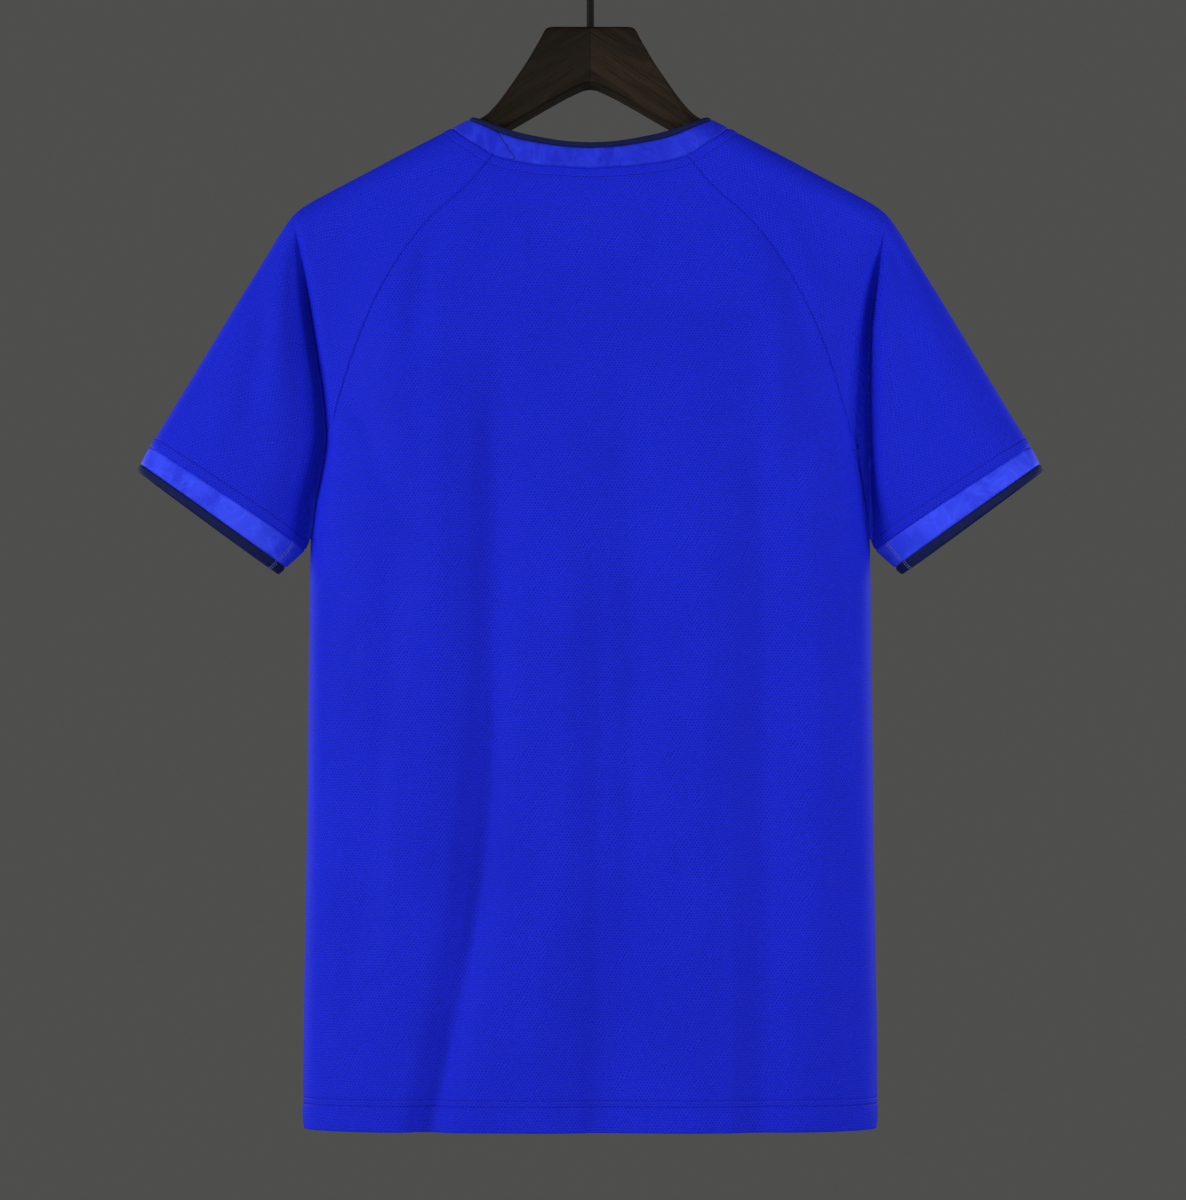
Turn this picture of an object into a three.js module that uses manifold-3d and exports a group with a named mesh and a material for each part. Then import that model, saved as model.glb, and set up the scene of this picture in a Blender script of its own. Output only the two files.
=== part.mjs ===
import * as THREE from 'three';
import Module from 'manifold-3d';
import { mergeVertices } from 'three/addons/utils/BufferGeometryUtils.js';

// A raglan football jersey on a wooden hanger. Sizes are in millimetres, with +Z up.
// The origin is the inside of the hook's top, where a rail carries everything.
// The back of the jersey faces +Y, its front -Y, and the wearer's left is +X.

// Driving sizes
const wall = { body: 1.5, band: 2.4 };
const seamGap = 0.3;
const hemHeight = -886.5;
const underarm = { x: 204.3, z: -460 };
const shoulderTip = { x: 217.5, z: -220.1 };
const neckEnd = { x: 102.1, z: -156 };
const collarEnd = { x: 86.5, z: -148 };
const collarTrimShare = 0.215;
const cuffSeam = { outerX: 322.2, innerX: 208.3, innerZ: -467.7 };
const cuffEdge = { outerX: 331.3, innerX: 228.2, innerZ: -485.6 };
const cuffTrimShare = 0.27;

// The cloth over the hanger: a round ridge that flares into the hollow of the body
const ridge = { radiusAtNeck: 18, radiusAtTip: 21, slopeCosine: 0.883 };
const bodyDepth = { half: 58, flareLength: 120, sideSquareness: 4 };
const softSide = { share: 0.34, startsAbove: -320, endsBelow: -445 };
const valleyFade = { power: 3, root: 0.6 };
const sleeveDepth = { half: 34, squareness: 2.4, riseLength: 18 };
const foldFade = { depth: 20, ends: 0.3 };

// The crease beside each sleeve, soft on its +X side; the right one lies past the valley
const crease = { pinch: 0.6, least: 3.6, soft: 8.5, sharp: 3.4 };
const creaseHeights = { starts: -215, full: -300, fades: -448, ends: -474 };

// How finely each piece is divided
const steps = { across: 30, belowUnderarm: 15, sleeveHalf: 14, sleeveLower: 7 };
const raglanShares = [0, 0.16, 0.32, 0.47, 0.61, 0.74, 0.86, 0.93, 0.97, 1];
const besideValley = 0.035;
const edgeCrowding = 0.65;
const ridgeCrowding = { near: 2.2, far: 1.6 };
const cuffCrowding = 1.2;
const weldsPerMillimetre = 1000;

// How quickly the sleeve's rows leave the neck seam and near the valley
const rowBend = { neck: 2, valley: 3, pastValley: 2 };

// Shoulder ridge, and past the hanger's tip the upper fold of the sleeve
const shoulderLine = [
  { x: 0, z: -117 },
  { x: 30, z: -121.5 },
  { x: 60, z: -134 },
  { x: collarEnd.x, z: collarEnd.z },
  { x: neckEnd.x, z: neckEnd.z },
  { x: 139.7, z: -175.6 },
  { x: 166.9, z: -190.3 },
  { x: 194.8, z: -205.2 },
  { x: 208, z: -212.7 },
  { x: shoulderTip.x, z: shoulderTip.z },
  { x: 228.4, z: -235 },
  { x: 237.2, z: -249.9 },
  { x: 257.5, z: -283.3 },
  { x: 283.9, z: -327.7 },
  { x: 310.3, z: -372.1 },
  { x: cuffSeam.outerX, z: -392 },
  { x: cuffEdge.outerX, z: -409.9 },
];

// Side of the body: the valley beside the sleeve, and the side seam below the underarm
const sideLine = [
  { z: hemHeight, x: 206.2 },
  { z: -875, x: 207.3 },
  { z: -838, x: 207.4 },
  { z: -751, x: 206.5 },
  { z: -665, x: 205.6 },
  { z: -533, x: 204.9 },
  { z: underarm.z, x: underarm.x },
  { z: -438, x: 202.3 },
  { z: -416, x: 198 },
  { z: -386, x: 194 },
  { z: -355, x: 196.5 },
  { z: -320, x: 202 },
  { z: -283, x: 207.5 },
  { z: -246, x: 213 },
  { z: shoulderTip.z, x: shoulderTip.x },
];

// The right sleeve's crease, which leaves the valley on its way down
const rightCreaseLine = [
  { z: -474, x: 206 },
  { z: -440, x: 205 },
  { z: -400, x: 203.5 },
  { z: -350, x: 203.5 },
  { z: -311, x: 204 },
  { z: -283, x: 207.5 },
  { z: -220.1, x: 217.5 },
];

const faces = {
  back: {
    sign: 1,
    raglan: [
      { z: underarm.z, x: underarm.x },
      { z: -435, x: 199.5 },
      { z: -412, x: 194.5 },
      { z: -392, x: 191.2 },
      { z: -378.4, x: 188.2 },
      { z: -361, x: 183.1 },
      { z: -334.5, x: 175 },
      { z: -307.7, x: 165 },
      { z: -281.4, x: 153.2 },
      { z: -254.8, x: 137.7 },
      { z: -227.9, x: 117.5 },
      { z: -201.5, x: 89.3 },
      { z: -179.4, x: 71 },
    ],
    neckSeam: [
      { x: 0, z: -190.2 },
      { x: 32.6, z: -188 },
      { x: 57.5, z: -183.9 },
      { x: 71, z: -179.4 },
      { x: 85.3, z: -170.2 },
      { x: 95.4, z: -163.2 },
      { x: neckEnd.x, z: neckEnd.z },
    ],
    collarTop: [
      { x: 0, z: -170.4 },
      { x: 12.9, z: -169.8 },
      { x: 42.9, z: -164.9 },
      { x: 65.2, z: -158.3 },
      { x: 78, z: -152.5 },
      { x: collarEnd.x, z: collarEnd.z },
    ],
  },
  front: {
    sign: -1,
    raglan: [
      { z: underarm.z, x: underarm.x },
      { z: -435, x: 199.5 },
      { z: -405, x: 193 },
      { z: -378, x: 187 },
      { z: -345, x: 177 },
      { z: -310, x: 163 },
      { z: -275, x: 145 },
      { z: -242, x: 122.5 },
      { z: -215, x: 99.5 },
      { z: -190.4, x: 78 },
    ],
    neckSeam: [
      { x: 0, z: -239 },
      { x: 25, z: -235.5 },
      { x: 48, z: -224 },
      { x: 66, z: -207 },
      { x: 78, z: -190.4 },
      { x: 92, z: -169.3 },
      { x: neckEnd.x, z: neckEnd.z },
    ],
    collarTop: [
      { x: 0, z: -219 },
      { x: 20, z: -216 },
      { x: 38, z: -207 },
      { x: 54, z: -191.5 },
      { x: 67, z: -174.5 },
      { x: 78, z: -158.8 },
      { x: collarEnd.x, z: collarEnd.z },
    ],
  },
};

// The largest folds. Each runs through three places and is width wide; a negative rise is a trough.
const folds = [
  { face: 'back', x1: 108, z1: -280, x2: 112, z2: -560, x3: 134, z3: -800, width: 17, rise: 2.8 },
  { face: 'back', x1: 18, z1: -310, x2: 20, z2: -580, x3: 38, z3: -920, width: 18, rise: 2.8 },
  { face: 'back', x1: -78, z1: -290, x2: -80, z2: -580, x3: -70, z3: -920, width: 18, rise: 2.8 },
  { face: 'back', x1: -158, z1: -400, x2: -168, z2: -620, x3: -162, z3: -850, width: 15, rise: 2.6 },
  { face: 'back', x1: 64, z1: -250, x2: 68, z2: -620, x3: 116, z3: -900, width: 16, rise: -7 },
  { face: 'back', x1: -26, z1: -290, x2: -31, z2: -560, x3: -13, z3: -920, width: 16, rise: -4.6 },
  { face: 'back', x1: -119, z1: -280, x2: -126, z2: -560, x3: -124, z3: -920, width: 15, rise: -5 },
  { face: 'back', x1: 140, z1: -400, x2: 150, z2: -620, x3: 172, z3: -860, width: 13, rise: -3.2 },
  { face: 'back', x1: 98, z1: -214, x2: 120, z2: -262, x3: 130, z3: -352, width: 10, rise: -3.4 },
  { face: 'back', x1: -116, z1: -212, x2: -143, z2: -262, x3: -158, z3: -372, width: 10, rise: -3.2 },
  { face: 'back', x1: 178, z1: -350, x2: 160, z2: -386, x3: 142, z3: -450, width: 10, rise: -2.4 },
  { face: 'back', x1: -170, z1: -346, x2: -152, z2: -392, x3: -138, z3: -450, width: 10, rise: -2.4 },
  { face: 'back', x1: 233, z1: -252, x2: 243, z2: -320, x3: 247, z3: -396, width: 10, rise: -3 },
  { face: 'back', x1: -222, z1: -234, x2: -230, z2: -290, x3: -240, z3: -370, width: 10, rise: -3 },
  { face: 'front', x1: 44, z1: -282, x2: 58, z2: -580, x3: 62, z3: -920, width: 19, rise: 3.2 },
  { face: 'front', x1: -52, z1: -288, x2: -56, z2: -560, x3: -66, z3: -920, width: 18, rise: 3.2 },
  { face: 'front', x1: 136, z1: -320, x2: 144, z2: -580, x3: 150, z3: -840, width: 17, rise: 2.8 },
  { face: 'front', x1: -132, z1: -310, x2: -140, z2: -560, x3: -156, z3: -820, width: 17, rise: 2.8 },
  { face: 'front', x1: 2, z1: -260, x2: 6, z2: -580, x3: 2, z3: -920, width: 16, rise: -5.2 },
  { face: 'front', x1: 94, z1: -260, x2: 100, z2: -580, x3: 112, z3: -920, width: 15, rise: -5 },
  { face: 'front', x1: -92, z1: -252, x2: -98, z2: -560, x3: -114, z3: -920, width: 16, rise: -5.6 },
  { face: 'front', x1: 176, z1: -350, x2: 158, z2: -390, x3: 138, z3: -452, width: 10, rise: -3 },
  { face: 'front', x1: -178, z1: -348, x2: -160, z2: -388, x3: -142, z3: -456, width: 10, rise: -3 },
  { face: 'front', x1: 230, z1: -250, x2: 240, z2: -320, x3: 250, z3: -392, width: 10, rise: -3 },
  { face: 'front', x1: -228, z1: -246, x2: -240, z2: -316, x3: -252, z3: -390, width: 10, rise: -3 },
];

// The hanger from its middle to one tip: its upper and lower edge and half its thickness
const hangerClearance = { collar: wall.band + seamGap, shoulder: wall.body + 0.45, changeOver: 12 };
const hangerStations = [
  { x: 0, top: -82, bottom: -124.5, half: 13 },
  { x: 4, top: -82, bottom: -125, half: 13 },
  { x: 9, top: -82, bottom: -127, half: 13 },
  { x: 18, top: -82, bottom: -131.4, half: 13 },
  { x: 27, top: -82, bottom: -136.4, half: 13 },
  { x: 31.5, top: -82.8, bottom: -139, half: 13 },
  { x: 34, top: -85.4, bottom: -140.4, half: 13 },
  { x: 36.5, top: -90.5, bottom: -141.9, half: 13 },
  { x: 40.4, top: -97.3, bottom: -144.2, half: 13 },
  { x: 46, top: -107, bottom: -147.5, half: 13 },
  { x: 52.2, top: -116.5, bottom: -151.2, half: 13 },
  { x: 58.4, top: -125.3, bottom: -155, half: 13 },
  { x: 64.6, top: -133.2, bottom: -159.2, half: 12.8 },
  { x: 71, top: -140.4, bottom: -164, half: 12.3 },
];
const hangerArm = { firstX: 78, lastX: 206, height: 24, tipHeight: 18, inside: 8, steps: 9 };
const hangerSection = { points: 16, middlePower: 0.37, armPower: 1, plainUntil: 52 };
const armEnd = [
  { back: 6, scale: 1 },
  { back: 2.6, scale: 0.88 },
  { back: 0.8, scale: 0.7 },
  { back: 0, scale: 0.46 },
];

// The hook: a stem in the wood, then a round loop over the rail
const hook = { wire: 5.8, rail: 40, sides: 10, stemFoot: -104, stemTop: -58, divisions: 44 };
const hookTurn = { from: -62, to: 200, step: 17.5 };
const socket = { clearance: 0.3, depth: 22.4, sides: 16 };

// Colours and finishes of the materials
const finishes = {
  royal: new THREE.MeshStandardMaterial({ color: 0x2030c0, roughness: 0.72, metalness: 0 }),
  bright: new THREE.MeshStandardMaterial({ color: 0x3c51f6, roughness: 0.6, metalness: 0 }),
  navy: new THREE.MeshStandardMaterial({ color: 0x232646, roughness: 0.7, metalness: 0 }),
  walnut: new THREE.MeshStandardMaterial({ color: 0x2a241d, roughness: 0.45, metalness: 0 }),
  steel: new THREE.MeshStandardMaterial({ color: 0x5a5a5c, roughness: 0.3, metalness: 1 }),
};

const mix = (a, b, share) => a + (b - a) * share;
const clamp01 = (value) => Math.min(1, Math.max(0, value));

function smoothStep(from, to, value) {
  const share = clamp01((value - from) / (to - from));
  return share * share * (3 - 2 * share);
}

// A smooth curve through a table's rows that never overshoots them
function curveThrough(rows, key, result) {
  const sorted = [...rows].sort((a, b) => a[key] - b[key]);
  const at = sorted.map((row) => row[key]);
  const value = sorted.map((row) => row[result]);
  const last = at.length - 1;
  const slope = at.slice(1).map((end, i) => (value[i + 1] - value[i]) / (end - at[i]));
  const tangent = at.map((_, i) => {
    if (i === 0) return slope[0];
    if (i === last) return slope[last - 1];
    const product = slope[i - 1] * slope[i];
    return product <= 0 ? 0 : (2 * product) / (slope[i - 1] + slope[i]);
  });
  return (place) => {
    const p = Math.min(at[last], Math.max(at[0], place));
    let i = 0;
    while (i < last - 1 && p > at[i + 1]) i += 1;
    const span = at[i + 1] - at[i];
    const t = (p - at[i]) / span;
    const rise = value[i + 1] - value[i];
    const bend = (1 - t) * (tangent[i] * span - rise) - t * (tangent[i + 1] * span - rise);
    return value[i] + rise * t + t * (1 - t) * bend;
  };
}

const shoulderAt = curveThrough(shoulderLine, 'x', 'z');
const sideAt = curveThrough(sideLine, 'z', 'x');
const rightCreaseAt = curveThrough(rightCreaseLine, 'z', 'x');
for (const face of Object.values(faces)) {
  face.raglanAt = curveThrough(face.raglan, 'z', 'x');
  face.neckAt = curveThrough(face.neckSeam, 'x', 'z');
  face.collarAt = curveThrough(face.collarTop, 'x', 'z');
  face.raglanTop = face.raglan[face.raglan.length - 1];
}
for (const fold of folds) {
  const places = [1, 2, 3].map((n) => ({ x: fold[`x${n}`], z: fold[`z${n}`] }));
  fold.middleAt = curveThrough(places, 'z', 'x');
  fold.slope = (fold.x3 - fold.x1) / (fold.z3 - fold.z1);
}

// Half the thickness of the hung cloth at a place of the body, without its folds
function bodyHeight(x, z) {
  const out = Math.abs(x);
  const below = Math.max(0, shoulderAt(out) - z) * ridge.slopeCosine;
  const radius = mix(ridge.radiusAtNeck, ridge.radiusAtTip, clamp01(out / shoulderTip.x));
  const rounded = below < radius ? Math.sqrt(radius ** 2 - (radius - below) ** 2) : radius;
  const reach = (below / bodyDepth.flareLength) ** 2;
  const full = rounded + ((bodyDepth.half - radius) * reach) / (1 + reach);
  const down = clamp01((shoulderTip.z - z) / (shoulderTip.z - underarm.z));
  const valley = Math.min(full, radius * (1 - down ** valleyFade.power) ** valleyFade.root);
  const share = clamp01(out / sideAt(z));
  const soft = smoothStep(0, softSide.share, 1 - share);
  const round = Math.sqrt(1 - share ** bodyDepth.sideSquareness);
  const side = mix(soft, round, smoothStep(softSide.startsAbove, softSide.endsBelow, z));
  return valley + (full - valley) * side;
}

// What the folds add to one face, fading to nothing at the outline
function foldHeight(faceName, x, z, height) {
  const ease = smoothStep(0, foldFade.depth, height);
  return folds.reduce((sum, fold) => {
    const along = (z - fold.z1) / (fold.z3 - fold.z1);
    if (fold.face !== faceName || along <= 0 || along >= 1) return sum;
    const across = (x - fold.middleAt(z)) / Math.hypot(1, fold.slope);
    const lowerEnd = fold.z3 < hemHeight ? 1 : smoothStep(0, foldFade.ends, 1 - along);
    const ends = smoothStep(0, foldFade.ends, along) * lowerEnd;
    return sum + ease * ends * fold.rise * Math.exp(-((across / fold.width) ** 2));
  }, 0);
}

// Draws the cloth in along the valley beside the sleeve
function pinched(x, z, height) {
  const away = Math.abs(x) - (x > 0 ? sideAt(z) : rightCreaseAt(z));
  const width = (away > 0) === (x > 0) ? crease.soft : crease.sharp;
  const { starts, full, fades, ends } = creaseHeights;
  const reach = smoothStep(starts, full, z) * smoothStep(ends, fades, z);
  const pinch = crease.pinch * reach * Math.exp(-((away / width) ** 2));
  return Math.max(height * (1 - pinch), Math.min(height, crease.least));
}

// A place of one face at a given height, with its folds
function facePoint(faceName, x, z, height) {
  const out = pinched(x, z, height + foldHeight(faceName, x, z, height));
  return new THREE.Vector3(x, faces[faceName].sign * out, z);
}

const bodyPoint = (faceName, x, z) => facePoint(faceName, x, z, bodyHeight(x, z));

// Places of the valley row, from the shoulder tip (0) to the underarm (1)
function valleyPlace(share) {
  const z = mix(shoulderTip.z, underarm.z, share);
  return { x: sideAt(z), z };
}

const linePlace = (a, b, share) => ({ x: mix(a.x, b.x, share), z: mix(a.z, b.z, share) });

// One row of the sleeve between the valley (0), the cuff's seam (1) and the cuff's edge (2)
function sleevePoint(faceName, wearerSide, share, along) {
  const onCuff = Math.max(0, along - 1);
  const onSleeve = Math.min(1, along);
  const outerX = mix(mix(shoulderTip.x, cuffSeam.outerX, onSleeve), cuffEdge.outerX, onCuff);
  const upper = { x: outerX, z: shoulderAt(outerX) };
  const cuffStart = { x: cuffSeam.innerX, z: cuffSeam.innerZ };
  const cuffStop = { x: cuffEdge.innerX, z: cuffEdge.innerZ };
  const lower = linePlace(linePlace(underarm, cuffStart, onSleeve), cuffStop, onCuff);
  const straight = linePlace(upper, lower, share);
  const valley = valleyPlace(share);
  const chord = linePlace(shoulderTip, underarm, share);
  const bend = (1 - onSleeve) ** rowBend.pastValley;
  const x = straight.x + bend * (valley.x - chord.x);
  const z = straight.z + bend * (valley.z - chord.z);
  const away = Math.hypot(x - valley.x, z - valley.z);
  const rise = away ** 2 / (away ** 2 + sleeveDepth.riseLength ** 2);
  const roundness = Math.sqrt(1 - Math.abs(2 * share - 1) ** sleeveDepth.squareness);
  const start = bodyHeight(valley.x, valley.z);
  return facePoint(faceName, wearerSide * x, z, start + (sleeveDepth.half * roundness - start) * rise);
}

// Shares from 0 to 1 that crowd at the ridge, and a little at the far end
function ridgeShares(count) {
  return Array.from({ length: count + 1 }, (_, i) => {
    const near = (i / count) ** ridgeCrowding.near;
    return near / (near + (1 - i / count) ** ridgeCrowding.far);
  });
}

const sleeveShares = ridgeShares(steps.sleeveHalf);
const acrossShares = Array.from({ length: steps.across + 1 }, (_, i) => {
  const share = (2 * i) / steps.across - 1;
  return mix(share, Math.sin((share * Math.PI) / 2), edgeCrowding);
});

const raglanHeight = (face, share) => mix(face.raglanTop.z, underarm.z, share);

// Rows of the front or back panel, from the hem up to the neck seam
function panelRows(faceName) {
  const face = faces[faceName];
  const rows = [];
  for (let i = 0; i < steps.belowUnderarm; i += 1) {
    const z = mix(hemHeight, underarm.z, i / steps.belowUnderarm);
    rows.push(acrossShares.map((share) => bodyPoint(faceName, share * sideAt(z), z)));
  }
  for (const share of [...raglanShares].reverse()) {
    const edgeZ = raglanHeight(face, share);
    const edgeX = face.raglanAt(edgeZ);
    rows.push(acrossShares.map((across) => {
      const dip = face.neckAt(Math.abs(across) * face.raglanTop.x) - face.raglanTop.z;
      return bodyPoint(faceName, across * edgeX, edgeZ + (1 - share) ** rowBend.neck * dip);
    }));
  }
  return rows;
}

// Half a row of the sleeve above the valley, from the shoulder ridge to the raglan seam
function yokeHalfRow(faceName, wearerSide, share) {
  const face = faces[faceName];
  const ridgeX = mix(neckEnd.x, shoulderTip.x, share);
  const upper = { x: ridgeX, z: shoulderAt(ridgeX) };
  const lowerZ = raglanHeight(face, share);
  const lower = { x: face.raglanAt(lowerZ), z: lowerZ };
  return sleeveShares.map((down) => {
    const straight = linePlace(upper, lower, down);
    const neckX = mix(neckEnd.x, face.raglanTop.x, down);
    const neckChord = linePlace(neckEnd, face.raglanTop, down);
    const valley = valleyPlace(down);
    const valleyChord = linePlace(shoulderTip, underarm, down);
    const neckBend = (1 - share) ** rowBend.neck * (face.neckAt(neckX) - neckChord.z);
    const valleyBend = share ** rowBend.valley;
    const x = straight.x + valleyBend * (valley.x - valleyChord.x);
    const z = straight.z + neckBend + valleyBend * (valley.z - valleyChord.z);
    return bodyPoint(faceName, wearerSide * x, z);
  });
}

// A full row runs from the back's seam over the ridge to the front's seam
function joinHalves(halfRow) {
  return [...halfRow('back').reverse(), ...halfRow('front').slice(1)];
}

function sleeveRows(wearerSide) {
  const upper = raglanShares.map((share) =>
    joinHalves((face) => yokeHalfRow(face, wearerSide, share)));
  const lower = Array.from({ length: steps.sleeveLower }, (_, i) =>
    cuffRow(wearerSide, ((i + 1) / steps.sleeveLower) ** cuffCrowding));
  return [...upper, cuffRow(wearerSide, besideValley), ...lower];
}

function cuffRow(wearerSide, along) {
  return joinHalves((face) => sleeveShares.map((share) => sleevePoint(face, wearerSide, share, along)));
}

// The collar's rings share the neck seam's places: around the back, then around the front
function collarRing(rise) {
  const places = (faceName) => {
    const face = faces[faceName];
    const shoulder = sleeveShares.map((share) => mix(neckEnd.x, face.raglanTop.x, share));
    const middle = acrossShares.map((share) => share * face.raglanTop.x);
    const right = shoulder.map((x) => -x).slice(0, -1);
    const left = [...shoulder].reverse().slice(1);
    return [...right, ...middle, ...left];
  };
  const point = (faceName, seamX) => {
    const face = faces[faceName];
    const topX = (seamX * collarEnd.x) / neckEnd.x;
    const seam = { x: seamX, z: face.neckAt(Math.abs(seamX)) };
    const top = { x: topX, z: face.collarAt(Math.abs(topX)) };
    const place = linePlace(seam, top, rise);
    return bodyPoint(faceName, place.x, place.z);
  };
  const back = places('back').map((x) => point('back', x));
  const front = places('front').reverse().map((x) => point('front', x));
  return [...back, ...front.slice(1)];
}

// All cloth surfaces, with their common corners merged so that neighbours share normals
class Surface {
  constructor() {
    this.points = [];
    this.known = new Map();
    this.pieces = new Map();
  }

  corner(point) {
    const key = [point.x, point.y, point.z].map((v) => Math.round(v * weldsPerMillimetre)).join(' ');
    if (!this.known.has(key)) {
      this.known.set(key, this.points.length);
      this.points.push(point);
    }
    return this.known.get(key);
  }

  // Adds a grid of rows, turned so that it faces away from the middle plane
  addRows(name, thickness, rows) {
    const ids = rows.map((row) => row.map((point) => this.corner(point)));
    const triangles = [];
    for (let r = 0; r < ids.length - 1; r += 1) {
      for (let c = 0; c < ids[r].length - 1; c += 1) {
        const [a, b] = [ids[r][c], ids[r][c + 1]];
        const [d, e] = [ids[r + 1][c], ids[r + 1][c + 1]];
        triangles.push([a, b, e], [a, e, d]);
      }
    }
    const outward = triangles.reduce((sum, triangle) => {
      const depth = triangle.reduce((total, id) => total + this.points[id].y, 0);
      return sum + this.areaNormal(triangle).y * depth;
    }, 0);
    if (outward < 0) triangles.forEach((triangle) => triangle.reverse());
    this.pieces.set(name, { thickness, triangles });
  }

  areaNormal([a, b, c]) {
    const first = this.points[b].clone().sub(this.points[a]);
    return first.cross(this.points[c].clone().sub(this.points[a]));
  }

  normals() {
    const sums = this.points.map(() => new THREE.Vector3());
    for (const { triangles } of this.pieces.values()) {
      for (const triangle of triangles) {
        const normal = this.areaNormal(triangle);
        triangle.forEach((id) => sums[id].add(normal));
      }
    }
    return sums.map((sum) => sum.normalize());
  }
}

// Edges that only one triangle uses, each as [from, to] in that triangle's direction
function openEdges(triangles) {
  const edges = new Map();
  for (const [a, b, c] of triangles) {
    for (const [from, to] of [[a, b], [b, c], [c, a]]) edges.set(`${from} ${to}`, [from, to]);
  }
  return [...edges.values()].filter(([from, to]) => !edges.has(`${to} ${from}`));
}

// A closed wall: the surface, its copy further in, and a rim, drawn back half a gap at its edges
function wallGeometry(surface, normals, { thickness, triangles }) {
  const edges = openEdges(triangles);
  const inward = new Map();
  for (const [from, to] of edges) {
    const along = surface.points[to].clone().sub(surface.points[from]).normalize();
    for (const id of [from, to]) {
      const side = normals[id].clone().cross(along).normalize();
      if (!inward.has(id)) inward.set(id, []);
      inward.get(id).push(side);
    }
  }
  const order = new Map();
  const outer = [];
  const inner = [];
  for (const id of triangles.flat()) {
    if (order.has(id)) continue;
    order.set(id, outer.length);
    const point = surface.points[id].clone();
    if (inward.has(id)) {
      const [first, second] = inward.get(id);
      const middle = first.clone().add(second).normalize();
      point.addScaledVector(middle, seamGap / 2 / Math.max(0.5, middle.dot(first)));
    }
    outer.push(point);
    inner.push(point.clone().addScaledVector(normals[id], -thickness));
  }
  const count = outer.length;
  const index = [];
  for (const [a, b, c] of triangles.map((triangle) => triangle.map((id) => order.get(id)))) {
    index.push(a, b, c, count + a, count + c, count + b);
  }
  // The rim's diagonals run alike on both sides of a seam, so that its gap stays even
  for (const edge of edges) {
    const [a, b] = edge.map((id) => order.get(id));
    if (edge[0] < edge[1]) index.push(b, a, count + a, b, count + a, count + b);
    else index.push(b, a, count + b, a, count + a, count + b);
  }
  const geometry = new THREE.BufferGeometry();
  const places = [...outer, ...inner].flatMap((point) => [point.x, point.y, point.z]);
  geometry.setAttribute('position', new THREE.Float32BufferAttribute(places, 3));
  geometry.setIndex(index);
  geometry.computeVertexNormals();
  return geometry;
}

function clothMeshes() {
  const surface = new Surface();
  surface.addRows('back_panel', wall.body, panelRows('back'));
  surface.addRows('front_panel', wall.body, panelRows('front'));
  surface.addRows('collar_band', wall.band, [collarRing(0), collarRing(1 - collarTrimShare)]);
  surface.addRows('collar_trim', wall.band, [collarRing(1 - collarTrimShare), collarRing(1)]);
  for (const [side, wearerSide] of [['left', 1], ['right', -1]]) {
    const trimStart = 2 - cuffTrimShare;
    surface.addRows(`sleeve_${side}`, wall.body, sleeveRows(wearerSide));
    surface.addRows(`cuff_band_${side}`, wall.band, [1, trimStart].map((s) => cuffRow(wearerSide, s)));
    surface.addRows(`cuff_trim_${side}`, wall.band, [trimStart, 2].map((s) => cuffRow(wearerSide, s)));
  }
  const normals = surface.normals();
  const finishOf = (name) => {
    if (name.includes('trim')) return finishes.navy;
    return name.includes('band') ? finishes.bright : finishes.royal;
  };
  return [...surface.pieces].map(([name, piece]) => {
    const mesh = new THREE.Mesh(wallGeometry(surface, normals, piece), finishOf(name));
    mesh.name = name;
    return mesh;
  });
}

// Every station of one arm, from the middle of the hanger to its tip
function armStations() {
  const arm = Array.from({ length: hangerArm.steps + 1 }, (_, i) => {
    const x = mix(hangerArm.firstX, hangerArm.lastX - armEnd[0].back, i / hangerArm.steps);
    const past = smoothStep(neckEnd.x, neckEnd.x + hangerClearance.changeOver, x);
    const under = mix(hangerClearance.collar, hangerClearance.shoulder, past);
    const top = shoulderAt(x) - under / ridge.slopeCosine;
    const height = mix(hangerArm.height, hangerArm.tipHeight, i / hangerArm.steps);
    const radius = mix(ridge.radiusAtNeck, ridge.radiusAtTip, x / shoulderTip.x);
    return { x, top, bottom: top - height, half: radius - hangerArm.inside };
  });
  const last = arm[arm.length - 1];
  const fall = Math.tan(Math.acos(ridge.slopeCosine));
  const end = armEnd.map(({ back, scale }) => {
    const x = hangerArm.lastX - back;
    const middle = (last.top + last.bottom) / 2 - (x - last.x) * fall;
    const reach = ((last.top - last.bottom) / 2) * scale;
    return { x, top: middle + reach, bottom: middle - reach, half: last.half * scale };
  });
  return [...hangerStations, ...arm, ...end.slice(1)];
}

// A section of the hanger: squarer in the middle, rounder along the arms
function hangerRing(station) {
  const { x, top, bottom, half } = station;
  const onArm = smoothStep(hangerSection.plainUntil, hangerArm.firstX, Math.abs(x));
  const power = mix(hangerSection.middlePower, hangerSection.armPower, onArm);
  return Array.from({ length: hangerSection.points }, (_, i) => {
    const angle = (i / hangerSection.points) * Math.PI * 2;
    const bend = (value) => Math.sign(value) * Math.abs(value) ** power;
    const y = half * bend(Math.cos(angle));
    const z = (top + bottom) / 2 + ((top - bottom) / 2) * bend(Math.sin(angle));
    return new THREE.Vector3(x, y, z);
  });
}

// A closed body through rings of equal length, with flat ends
function loftGeometry(rings) {
  const count = rings[0].length;
  const index = [];
  for (let r = 0; r < rings.length - 1; r += 1) {
    for (let i = 0; i < count; i += 1) {
      const [a, b] = [r * count + i, r * count + ((i + 1) % count)];
      index.push(a, b, a + count, b, b + count, a + count);
    }
  }
  const foot = (rings.length - 1) * count;
  for (let i = 1; i < count - 1; i += 1) {
    index.push(0, i + 1, i, foot, foot + i, foot + i + 1);
  }
  const geometry = new THREE.BufferGeometry();
  const places = rings.flat().flatMap((point) => [point.x, point.y, point.z]);
  geometry.setAttribute('position', new THREE.Float32BufferAttribute(places, 3));
  geometry.setIndex(index);
  return geometry;
}

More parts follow.
